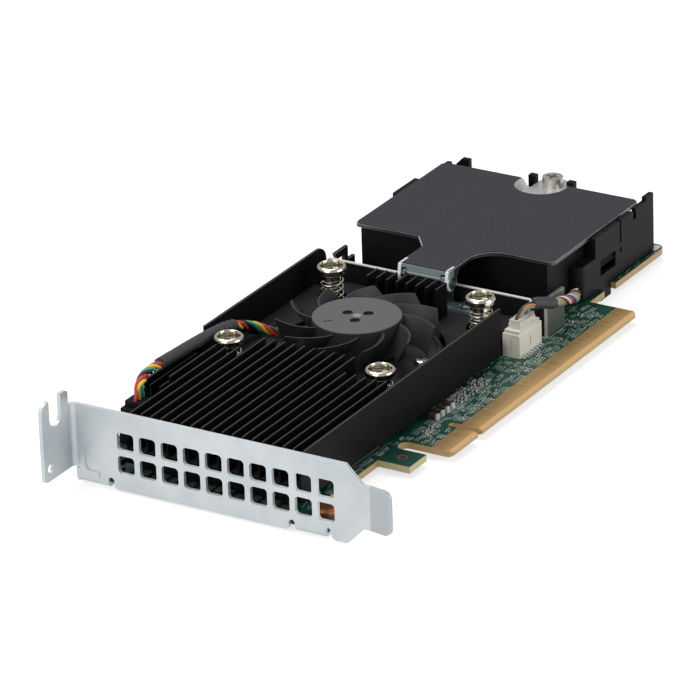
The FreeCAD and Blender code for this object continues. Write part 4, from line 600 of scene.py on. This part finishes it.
def cross_cut(screw, x, y, reach, width, low, high):
    """Cuts a cross recess into the top of a screw, one slot after the other."""
    for half_x, half_y in ((reach, width / 2), (width / 2, reach)):
        tool = bmesh.new()
        brick(tool, x - half_x, x + half_x, y - half_y, y + half_y, low, high)
        data = bpy.data.meshes.new("recess_tool")
        tool.to_mesh(data)
        tool.free()
        blade = bpy.data.objects.new("recess_tool", data)
        bpy.context.scene.collection.objects.link(blade)
        cut = screw.modifiers.new("recess", "BOOLEAN")
        cut.operation = "DIFFERENCE"
        cut.object = blade
        bpy.context.view_layer.update()
        view = bpy.context.evaluated_depsgraph_get()
        carved = bpy.data.meshes.new_from_object(screw.evaluated_get(view))
        screw.modifiers.clear()
        screw.data = carved
        bpy.data.objects.remove(blade)
    screw.data.shade_smooth()
    screw.data.set_sharp_from_angle(angle=math.radians(TURNED_ANGLE))


def mark_painted_hollow_shade(screw, x, y):
    """Marks the faces inside a screw's ring and recess, which are painted darker as shade."""
    marks = screw.data.attributes.new("painted_hollow_shade", "FLOAT", "FACE")
    for face, mark in zip(screw.data.polygons, marks.data):
        reach = math.hypot(face.center.x - x * MM, face.center.y - y * MM)
        in_ring = reach < HOLLOW_R * MM and face.center.z > HOLLOW_Z * MM
        in_cross = reach < CROSS_REACH * MM and face.center.z > CROSS_LOW * MM - 0.01 * MM
        mark.value = 1.0 if in_ring or in_cross else 0.0


nickel_finish, tree, shader = finish("bright_nickel", (0.70, 0.67, 0.59), 0.16, 1.0)
turning = cloud(tree, 1800.0, (1.0, 1.0, 3.0))
turned = blended(tree, turning, (0.62, 0.59, 0.51), (0.78, 0.75, 0.67))
painted_hollow_shade = tree.nodes.new("ShaderNodeAttribute")
painted_hollow_shade.attribute_name = "painted_hollow_shade"
# The inside of the ring and the cross recess are painted darker as shade.
coloured(tree, shader, painted_hollow_shade.outputs["Fac"], turned, (0.45, 0.42, 0.34))
glossed(tree, shader, turning, 0.1, 0.24)
for number, node in enumerate(numbered("spring_screw"), 1):
    x, y = (round(part, 3) for part in upright_axis(node))
    mesh = bmesh.new()
    spun(mesh, SCREW_PROFILE, x, y, SCREW_STEPS)
    screw = made(f"ring_screw_{number}", mesh, nickel_finish, TURNED_ANGLE)
    cross_cut(screw, x, y, CROSS_REACH, CROSS_W, CROSS_LOW, CROSS_HIGH)
    mark_painted_hollow_shade(screw, x, y)
    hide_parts(f"spring_screw_{number}")
    mesh = bmesh.new()
    start = Matrix.Translation(((x + COIL_R) * MM, y * MM, COIL_LOW * MM))
    upended = Matrix.Rotation(math.pi / 2, 4, "X")
    bmesh.ops.create_circle(mesh, segments=COIL_WIRE_SIDES, radius=COIL_WIRE_R * MM, matrix=start @ upended)
    bmesh.ops.spin(
        mesh, geom=mesh.verts[:] + mesh.edges[:], cent=(x * MM, y * MM, 0), axis=(0, 0, 1),
        dvec=(0, 0, (COIL_HIGH - COIL_LOW) / COIL_STEPS * MM), angle=math.tau * COIL_TURNS, steps=COIL_STEPS,
        use_duplicate=False,
    )
    bmesh.ops.holes_fill(mesh, edges=mesh.edges, sides=COIL_WIRE_SIDES)
    bmesh.ops.recalc_face_normals(mesh, faces=mesh.faces)
    coil = made(f"round_wire_spring_{number}", mesh, nickel_finish, COIL_ANGLE)
    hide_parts(f"screw_spring_{number}")
dress(nickel_finish, *numbered("press_nut"))

# Fan: glass-filled plastic wheel on a moulded base. The mould leaves a fine spark-eroded grain, and the
# hub's flat top is a shade paler than the blades. Three pan-head screws hold the base.
HUB_TOP_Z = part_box("impeller")[1][2] - 0.1 * MM
PAN_PROFILE = (
    (0.0, 1.66), (0.9, 1.66), (0.9, 3.9), (1.78, 3.9), (1.78, 4.35), (1.62, 4.75), (1.3, 4.95), (0.0, 4.98),
)
PAN_STEPS = 32
PAN_CROSS_REACH = 1.05
PAN_CROSS_W = 0.42
PAN_CROSS_LOW = 4.4
PAN_CROSS_HIGH = 5.2
fan_finish, tree, shader = finish("fan_plastic", (0.020, 0.020, 0.022), 0.5, 0.0, 0.35)
fan_grain = cloud(tree, 3500.0)
moulded = blended(tree, fan_grain, (0.014, 0.014, 0.0155), (0.026, 0.026, 0.028))
hub_top = past(tree, "Z", HUB_TOP_Z, 0.05 * MM)
coloured(tree, shader, hub_top, moulded, (0.085, 0.086, 0.090))
glossed(tree, shader, fan_grain, 0.42, 0.58)
relief(tree, shader, fan_grain, FINE_RELIEF)
dress(fan_finish, "impeller", "fan_base")
# The driver board under the blades is given the black epoxy as painted shade.
dress(epoxy_finish, "driver_board")
core_finish, tree, shader = finish("core_steel", (0.28, 0.28, 0.29), 0.4, 1.0)
glossed(tree, shader, cloud(tree, 3000.0, (0.2, 0.2, 5.0)), 0.3, 0.55)
dress(core_finish, "stator_core", "rotor_cup", "rotor_magnet")
copper_finish, tree, shader = finish("enamelled_copper", (0.62, 0.26, 0.10), 0.3, 1.0)
glossed(tree, shader, cloud(tree, 3000.0, (0.3, 0.3, 6.0)), 0.2, 0.5)
dress(copper_finish, "stator_coils", "fan_bearing")
dress(nickel_finish, "fan_shaft")
for node in numbered("fan_screw"):
    x, y = upright_axis(node)
    mesh = bmesh.new()
    spun(mesh, PAN_PROFILE, x, y, PAN_STEPS)
    screw = made(node.replace("fan", "pan_head"), mesh, nickel_finish, TURNED_ANGLE)
    cross_cut(screw, x, y, PAN_CROSS_REACH, PAN_CROSS_W, PAN_CROSS_LOW, PAN_CROSS_HIGH)
    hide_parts(node)

# Fan header and plug: black filled plastic with a soft grain. The header is soldered to the board, and the
# plug is pushed into it.
black_finish, tree, shader = finish("black_moulding", (0.007, 0.007, 0.0075), 0.48, 0.0, 0.09)
black_grain = cloud(tree, 2600.0)
coloured(tree, shader, black_grain, (0.004, 0.004, 0.0045), (0.010, 0.010, 0.011))
glossed(tree, shader, black_grain, 0.42, 0.58)
relief(tree, shader, black_grain, FINE_RELIEF)
dress(black_finish, "fan_header", "fan_plug")

# Fan lead: four thin stranded wires in coloured insulation, twisted together. A black shrink sleeve
# holds the middle, and the wires part into a row at the plug.
FAN_ROUTE = (
    (19.6, 63.6, 9.6), (19.6, 63.6, 11.6), (20.9, 64.0, 13.0), (24.6, 65.0, 13.6), (31.0, 65.9, 12.7),
    (52.0, 65.7, 11.8), (61.0, 65.2, 10.8), (68.0, 64.2, 8.0), (71.2, 61.6, 5.8), (72.4, 57.0, 5.5),
    (72.8, 52.0, 5.5),
)
FAN_COLOURS = {
    "red": (0.52, 0.035, 0.03), "yellow": (0.78, 0.55, 0.05), "green": (0.05, 0.34, 0.21),
    "black": (0.010, 0.010, 0.011),
}
FAN_WIRE_R = 0.42 * MM
FAN_LAY_R = 0.66 * MM
FAN_TWIST = 8.2 * MM
FAN_ROW_PITCH = 1.45 * MM
FAN_ROW_SHIFT = 0.9 * MM
FAN_GATHER = 4.2 * MM
FAN_SLEEVE_X = (31.0 * MM, 61.5 * MM)
FAN_SLEEVE_R = 1.4 * MM
FAN_RIPPLE = 0.07
FAN_RIPPLE_LENGTH = 1.7 * MM
ROUTE_STEPS = 20
TUBE_STEPS = 2
insulation = {}


def insulate(colours):
    """Makes the insulation of a lead's wires, one material for each colour."""
    for colour, shade in colours.items():
        insulation[colour], tree, shader = finish(f"{colour}_insulation", shade, 0.42)
        darker = tuple(0.82 * part for part in shade)
        coloured(tree, shader, cloud(tree, 1200.0), darker, shade)
        glossed(tree, shader, cloud(tree, 2600.0), 0.34, 0.5)


def nurbs(name, spots, steps):
    """A smooth curve that has the spots as its control points."""
    curve = bpy.data.curves.new(name, "CURVE")
    curve.dimensions = "3D"
    spline = curve.splines.new("NURBS")
    spline.points.add(len(spots) - 1)
    for control, spot in zip(spline.points, spots):
        control.co = (*spot, 1.0)
    spline.order_u = 3
    spline.use_endpoint_u = True
    spline.resolution_u = steps
    return curve


def meshed(curve):
    """A curve's mesh, which takes the place of the curve."""
    holder = bpy.data.objects.new(curve.name, curve)
    data = bpy.data.meshes.new_from_object(holder)
    bpy.data.objects.remove(holder)
    bpy.data.curves.remove(curve)
    return data


def smooth_line(route):
    """Points along a smooth curve that has a route's points, in millimetres, as its control points."""
    line = meshed(nurbs("route", [(x * MM, y * MM, z * MM) for x, y, z in route], ROUTE_STEPS))
    spots = [vertex.co.copy() for vertex in line.vertices]
    bpy.data.meshes.remove(line)
    return spots


def strand_lines(spots, count, lay_radius, twist_length, pitch, shift, gather):
    """Lines of twisted strands about a route, which part into a row along X where it starts."""
    lines = [[] for strand in range(count)]
    row = Vector((1, 0, 0))
    side = row
    gone = 0.0
    for number, spot in enumerate(spots):
        before = spots[max(number - 1, 0)]
        after = spots[min(number + 1, len(spots) - 1)]
        tangent = (after - before).normalized()
        side = (side - tangent * side.dot(tangent)).normalized()
        up = tangent.cross(side)
        gone += (spot - before).length
        parted = max(0.0, 1.0 - gone / gather)
        parted = parted * parted * (3.0 - 2.0 * parted)
        for strand in range(count):
            turn = math.tau * (strand / count + gone / twist_length)
            twisted = lay_radius * (math.cos(turn) * side + math.sin(turn) * up)
            ranked = row * ((strand - (count - 1) / 2) * pitch + shift)
            lines[strand].append(spot + ranked * parted + twisted * (1.0 - parted))
    return lines


def tube(name, spots, radius, material, ripple=0.0, ripple_length=1.0):
    """A round tube along a line, rippled where the strands under it show through."""
    curve = nurbs(name, spots, TUBE_STEPS)
    curve.bevel_depth = radius
    curve.bevel_resolution = 3
    curve.use_fill_caps = True
    gone = 0.0
    before = spots[0]
    for control, spot in zip(curve.splines[0].points, spots):
        gone += (spot - before).length
        before = spot
        control.radius = 1.0 + ripple * math.sin(math.tau * gone / ripple_length)
    data = meshed(curve)
    data.shade_smooth()
    return piece(name, data, material)


insulate(FAN_COLOURS)
sleeve_finish, tree, shader = finish("shrink_sleeve", (0.016, 0.016, 0.017), 0.5, 0.0, 0.4)
shrunk = cloud(tree, 1500.0, (0.6, 2.0, 2.0))
coloured(tree, shader, shrunk, (0.018, 0.018, 0.019), (0.055, 0.055, 0.058))
glossed(tree, shader, shrunk, 0.4, 0.62)
relief(tree, shader, shrunk, 0.04 * MM)
fan_spots = smooth_line(FAN_ROUTE)
fan_lines = strand_lines(
    fan_spots, len(FAN_COLOURS), FAN_LAY_R, FAN_TWIST, FAN_ROW_PITCH, FAN_ROW_SHIFT, FAN_GATHER
)
for colour, line in zip(FAN_COLOURS, fan_lines):
    tube(f"fan_wire_{colour}", line, FAN_WIRE_R, insulation[colour])
fan_sleeved = [spot for spot in fan_spots if FAN_SLEEVE_X[0] < spot.x < FAN_SLEEVE_X[1]]
fan_sleeve = tube("fan_sleeve", fan_sleeved, FAN_SLEEVE_R, sleeve_finish, FAN_RIPPLE, FAN_RIPPLE_LENGTH)
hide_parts("fan_lead")

# Support frame: folded steel painted black before cutting, so its sheared edges stay bright, and its upper
# edges carry a painted highlight as well. The right flange was masked and is bare steel. Two screws hold the
# frame on the board.
PAINT_BLACK = (0.010, 0.010, 0.011)
BARE_STEEL = (0.13, 0.15, 0.135)
CUT_STEEL = (0.58, 0.57, 0.55)
BARE_FLANGE_Y = 12.02 * MM
FRONT_WEB_X = 108.6 * MM
RIM_Z = 8.06 * MM
frame_finish, tree, shader = finish("black_paint", PAINT_BLACK, 0.4, 0.0, 0.3)
bare_flange = past(tree, "Y", BARE_FLANGE_Y, -0.04 * MM)
painted = blended(tree, bare_flange, PAINT_BLACK, BARE_STEEL)
# The upper edges are painted bright, partly as wear and partly as a highlight.
rubbed_and_highlit = blended(tree, worn_and_highlit_edges(tree, 0.14 * MM, upper_highlit_only=True), painted, (0.55, 0.54, 0.51))
front_web = past(tree, "X", FRONT_WEB_X, -0.1 * MM)
rim = worked(tree, "MULTIPLY", front_web, past(tree, "Z", RIM_Z, 0.04 * MM))
flange_end = worked(tree, "MULTIPLY", bare_flange, graded(tree, facing(tree, "X"), 0.7, 0.8))
sheared = worked(tree, "MAXIMUM", rim, flange_end)
coloured(tree, shader, sheared, rubbed_and_highlit, CUT_STEEL)
bare_face = worked(tree, "SUBTRACT", bare_flange, sheared)
tree.links.new(graded(tree, bare_face, 0.0, 1.0, 0.0, 0.6), shader.inputs["Metallic"])
glossed(tree, shader, cloud(tree, 1200.0), 0.34, 0.5)
dress(frame_finish, "support_frame")
dress(nickel_finish, *numbered("frame_screw"))

# Hinge bracket: a small zinc-plated stamping on the heat sink. Its wall mirrors the black parts round it,
# the knuckles are painted darker as shade, and the foot is dull. Two screws hold the foot, and the pin runs
# through the knuckles.
KNUCKLE_END_X = 104.0 * MM
HINGE_FOOT_Z = 4.9 * MM
polished_zinc, tree, shader = finish("polished_zinc", (0.48, 0.54, 0.56), 0.3, 1.0)
plating = cloud(tree, 300.0)
bright_wall = blended(tree, plating, (0.42, 0.49, 0.52), (0.56, 0.61, 0.62))
# The knuckles are painted darker as shade.
painted_knuckle_shade = past(tree, "X", KNUCKLE_END_X, -0.2 * MM)
knuckles_painted_dark = blended(tree, painted_knuckle_shade, bright_wall, (0.13, 0.16, 0.17))
hinge_foot = past(tree, "Z", HINGE_FOOT_Z, -0.2 * MM)
coloured(tree, shader, hinge_foot, knuckles_painted_dark, (0.19, 0.235, 0.25))
tree.links.new(graded(tree, hinge_foot, 0.0, 1.0, 1.0, 0.25), shader.inputs["Metallic"])
glossed(tree, shader, plating, 0.24, 0.38)
dress(polished_zinc, "hinge_bracket", "hinge_pin", *numbered("hinge_screw"))

# Battery tray and pack, drive connectors: black mouldings with the grain of the fan header. The tray clips
# over the board's edges, the pack lies in it, and the threaded insert in its post takes the cover's screw.
dress(black_finish, "battery_tray", "battery_pack", *numbered("drive_connector"))
dress(copper_finish, "cover_insert")

# Battery header and plug: nylon, the header slightly yellowed and the plug left natural. Eight tinned tails
# hold the header, and thin ribs keep the wires of the plug apart.
TAIL_COUNT = 8
TAIL_PITCH = 1.2
TAIL_W = 0.4
TAIL_LENGTH = 1.0
TAIL_THICK = 0.22
TAIL_RISE = 0.75
TAIL_SHOULDER = 0.28
RIB_COUNT = 8
RIB_PITCH = 0.9
RIB_W = 0.28
RIB_LENGTH = 2.7
RIB_RISE = 0.75
header_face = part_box("battery_header")[0][1] / MM
plug_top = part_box("battery_plug")[1][2] / MM
plug_x, plug_y = upright_axis("battery_plug")


def nylon(name, colour, first, second):
    """Moulded nylon that is a little cloudy between two shades."""
    material, tree, shader = finish(name, colour, 0.48)
    coloured(tree, shader, cloud(tree, 500.0), first, second)
    glossed(tree, shader, cloud(tree, 2000.0), 0.4, 0.56)
    return material


white_nylon = nylon("white_nylon", (0.72, 0.68, 0.57), (0.70, 0.665, 0.565), (0.80, 0.765, 0.67))
natural_nylon = nylon("natural_nylon", (0.62, 0.60, 0.54), (0.58, 0.56, 0.50), (0.67, 0.65, 0.59))
dress(white_nylon, "battery_header")
dress(natural_nylon, "battery_plug")
tails = bmesh.new()
for number in range(TAIL_COUNT):
    x0 = plug_x + (number - (TAIL_COUNT - 1) / 2) * TAIL_PITCH - TAIL_W / 2
    x1 = x0 + TAIL_W
    brick(tails, x0, x1, header_face - TAIL_LENGTH, header_face, 0, TAIL_THICK)
    brick(tails, x0, x1, header_face - TAIL_SHOULDER, header_face, TAIL_THICK, TAIL_RISE)
made("header_tails", tails, tin_finish)
ribs = bmesh.new()
for number in range(RIB_COUNT):
    x0 = plug_x + (number - (RIB_COUNT - 1) / 2) * RIB_PITCH - RIB_W / 2
    y0 = plug_y - RIB_LENGTH / 2
    brick(ribs, x0, x0 + RIB_W, y0, y0 + RIB_LENGTH, plug_top, plug_top + RIB_RISE)
softened(ribs, 0.06 * MM, 2)
made("plug_ribs", ribs, natural_nylon)

# Battery lead: seven thin wires that leave the plug in a flat row. A short black sleeve gathers them, and
# from there they run twisted to the tray's corner post.
BATTERY_ROUTE = (
    (99.3, 13.1, 7.6), (99.5, 13.1, 8.8), (101.0, 12.6, 10.0), (103.2, 11.2, 10.3), (106.5, 9.6, 9.1),
    (111.0, 9.4, 7.9), (116.5, 9.4, 6.5), (120.2, 10.8, 5.0), (123.6, 14.4, 2.8), (127.0, 14.4, 2.8),
)
BATTERY_COLOURS = {
    "orange": (0.62, 0.17, 0.06), "grass": (0.20, 0.45, 0.22), "pale_blue": (0.30, 0.42, 0.68),
    "navy": (0.03, 0.035, 0.12), "crimson": (0.50, 0.04, 0.10), "white": (0.72, 0.70, 0.66),
}
BATTERY_WIRE_R = 0.36 * MM
BATTERY_LAY_R = 0.83 * MM
BATTERY_TWIST = 9.0 * MM
BATTERY_ROW_PITCH = 0.9 * MM
BATTERY_ROW_SHIFT = 0.0
BATTERY_GATHER = 6.4 * MM
BATTERY_SLEEVE_X = (102.3 * MM, 107.8 * MM)
BATTERY_SLEEVE_R = 1.35 * MM
BATTERY_RIPPLE = 0.02
BATTERY_RIPPLE_LENGTH = 2.4 * MM
insulate(BATTERY_COLOURS)
battery_colours = ("black", *BATTERY_COLOURS)
battery_spots = smooth_line(BATTERY_ROUTE)
battery_lines = strand_lines(
    battery_spots, len(battery_colours), BATTERY_LAY_R, BATTERY_TWIST, BATTERY_ROW_PITCH, BATTERY_ROW_SHIFT,
    BATTERY_GATHER,
)
for colour, line in zip(battery_colours, battery_lines):
    tube(f"battery_wire_{colour}", line, BATTERY_WIRE_R, insulation[colour])
battery_sleeved = [spot for spot in battery_spots if BATTERY_SLEEVE_X[0] < spot.x < BATTERY_SLEEVE_X[1]]
battery_sleeve = tube(
    "battery_sleeve", battery_sleeved, BATTERY_SLEEVE_R, sleeve_finish, BATTERY_RIPPLE, BATTERY_RIPPLE_LENGTH
)
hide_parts("battery_lead")

# Cover: rolled steel sheet under a dark satin insulating film that is glued on and trimmed to its edge.
# The dish for the screw and the zinc-grey flap at the hinge are left bare. A painted highlight lies along the
# flap's lower edge and on the bare cut edge where the sheet is bent down to its ears.
EAR_INNER_Y = (34.0 * MM, 45.35 * MM)
EAR_REAR_X = 104.9 * MM
FLAP_END_X = 103.9 * MM
ZINC_END_X = 102.5 * MM
FLAP_EDGE_Z = 12.15 * MM
DISH_START_X = 149.2 * MM


def bare_and_highlit_ear_edges(tree):
    """The sheet's bare cut edge where it is bent down to the hinge's ears, on both sides of the flap,
    with a painted highlight on it.
    """
    right = past(tree, "Y", EAR_INNER_Y[0], -0.1 * MM)
    left = past(tree, "Y", EAR_INNER_Y[1], 0.1 * MM)
    sides = worked(tree, "MAXIMUM", right, left)
    front = past(tree, "X", EAR_REAR_X, -0.1 * MM)
    edgewise = graded(tree, facing(tree, "Y"), 0.8, 0.6)
    return worked(tree, "MULTIPLY", worked(tree, "MULTIPLY", sides, front), edgewise)


sheet_finish, tree, shader = finish("rolled_steel", (0.58, 0.58, 0.57), 0.34, 0.8)
rolling = cloud(tree, 600.0, (0.2, 4.0, 1.0))
rolled = blended(tree, rolling, (0.54, 0.55, 0.54), (0.66, 0.66, 0.65))
upright = graded(tree, facing(tree, "Z"), 0.6, 0.4)
behind_flap = past(tree, "X", FLAP_END_X, 0.2 * MM)
before_dish = past(tree, "X", DISH_START_X, -0.2 * MM)
trimmed = worked(tree, "MULTIPLY", upright, worked(tree, "MULTIPLY", behind_flap, before_dish))
dark_trim = blended(tree, trimmed, rolled, (0.09, 0.09, 0.088))
zinc_flap = past(tree, "X", ZINC_END_X, -0.1 * MM)
grey_flap = blended(tree, zinc_flap, dark_trim, (0.34, 0.41, 0.43))
# The flap's lower edge and the cut edges at the ears carry a painted highlight.
flap_edge_highlight = worked(tree, "MULTIPLY", zinc_flap, past(tree, "Z", FLAP_EDGE_Z, -0.1 * MM))
painted_edge_highlights = worked(tree, "MAXIMUM", flap_edge_highlight, bare_and_highlit_ear_edges(tree))
coloured(tree, shader, painted_edge_highlights, grey_flap, (0.92, 0.95, 0.96))
tree.links.new(graded(tree, zinc_flap, 0.0, 1.0, 0.8, 0.3), shader.inputs["Metallic"])
glossed(tree, shader, rolling, 0.28, 0.44)
dress(sheet_finish, "cover_plate")
film_finish, tree, shader = finish("dark_film", (0.017, 0.017, 0.018), 0.45, 0.0, 0.4)
film = blended(tree, cloud(tree, 140.0), (0.010, 0.0097, 0.0145), (0.017, 0.0166, 0.0232))
# The film's edges at the ears carry the same painted highlight.
coloured(tree, shader, bare_and_highlit_ear_edges(tree), film, (0.52, 0.53, 0.52))
glossed(tree, shader, cloud(tree, 2600.0), 0.38, 0.52)
dress(film_finish, "cover_film")
satin_finish, tree, shader = finish("satin_nickel", (0.52, 0.50, 0.46), 0.36, 0.9)
glossed(tree, shader, cloud(tree, 1600.0, (1.0, 1.0, 4.0)), 0.28, 0.44)
dress(satin_finish, "cover_screw")

# Floor, light and camera: a pale floor that is white to the camera and in reflections and still takes the
# card's shadow, three soft boxes, and a long lens at the photograph's place.
FLOOR_REACH = 3.0
FLOOR_GLOW = 0.68
CARD_CENTRE = (0.08, 0.035, 0.0)
CAMERA_SPOT = (-0.93891, -0.57809, 0.53298)
CAMERA_RIGHT = Vector((0.5111, -0.8590, -0.0298))
CAMERA_DOWN = Vector((-0.3637, -0.1847, -0.9130))
CAMERA_FORWARD = Vector((0.7788, 0.4774, -0.4068))
floor_mesh = bmesh.new()
bmesh.ops.create_grid(floor_mesh, x_segments=1, y_segments=1, size=FLOOR_REACH)
bmesh.ops.translate(floor_mesh, vec=(0, 0, cad_box[0][2]), verts=floor_mesh.verts)
floor_data = bpy.data.meshes.new("floor")
floor_mesh.to_mesh(floor_data)
floor_mesh.free()
floor = bpy.data.objects.new("floor", floor_data)
bpy.context.scene.collection.objects.link(floor)
floor_finish, tree, shader = finish("pale_floor", (0.42, 0.42, 0.42), 0.9, 0.0, 0.0)
rays = tree.nodes.new("ShaderNodeLightPath")
seen = worked(tree, "MAXIMUM", rays.outputs["Is Camera Ray"], rays.outputs["Is Glossy Ray"])
seen = worked(tree, "MAXIMUM", seen, rays.outputs["Is Transmission Ray"])
glow = tree.nodes.new("ShaderNodeEmission")
tree.links.new(graded(tree, seen, 0.0, 1.0, 0.0, FLOOR_GLOW), glow.inputs["Strength"])
lit_and_glowing = tree.nodes.new("ShaderNodeAddShader")
tree.links.new(shader.outputs["BSDF"], lit_and_glowing.inputs[0])
tree.links.new(glow.outputs["Emission"], lit_and_glowing.inputs[1])
tree.links.new(lit_and_glowing.outputs["Shader"], tree.nodes["Material Output"].inputs["Surface"])
floor_data.materials.append(floor_finish)

world = bpy.data.worlds.new("studio")
world.use_nodes = True
world.node_tree.nodes["Background"].inputs["Color"].default_value = (1, 1, 1, 1)
world.node_tree.nodes["Background"].inputs["Strength"].default_value = 0.42
bpy.context.scene.world = world


def soft_box(name, spot, width, height, power):
    """A rectangular soft light aimed at the card."""
    light = bpy.data.lights.new(name, "AREA")
    light.shape = "RECTANGLE"
    light.size = width
    light.size_y = height
    light.energy = power
    lamp = bpy.data.objects.new(name, light)
    aim = (Vector(CARD_CENTRE) - Vector(spot)).to_track_quat("-Z", "Y")
    lamp.matrix_world = Matrix.Translation(spot) @ aim.to_matrix().to_4x4()
    bpy.context.scene.collection.objects.link(lamp)


soft_box("overhead", (0.1, 0.35, 0.9), 0.9, 0.7, 7.0)
soft_box("front_fill", (-0.95, 0.15, 0.5), 0.7, 0.7, 4.5)
soft_box("side_fill", (0.25, -1.0, 0.45), 0.7, 0.7, 5.0)

camera_data = bpy.data.cameras.new("camera")
camera_data.lens = 300.1
camera_data.sensor_width = 36.0
camera_data.clip_end = 10.0
camera = bpy.data.objects.new("camera", camera_data)
aim = Matrix((CAMERA_RIGHT, -CAMERA_DOWN, -CAMERA_FORWARD)).transposed().to_4x4()
camera.matrix_world = Matrix.Translation(CAMERA_SPOT) @ aim
bpy.context.scene.collection.objects.link(camera)
bpy.context.scene.camera = camera
bpy.context.scene.view_settings.view_transform = "Standard"
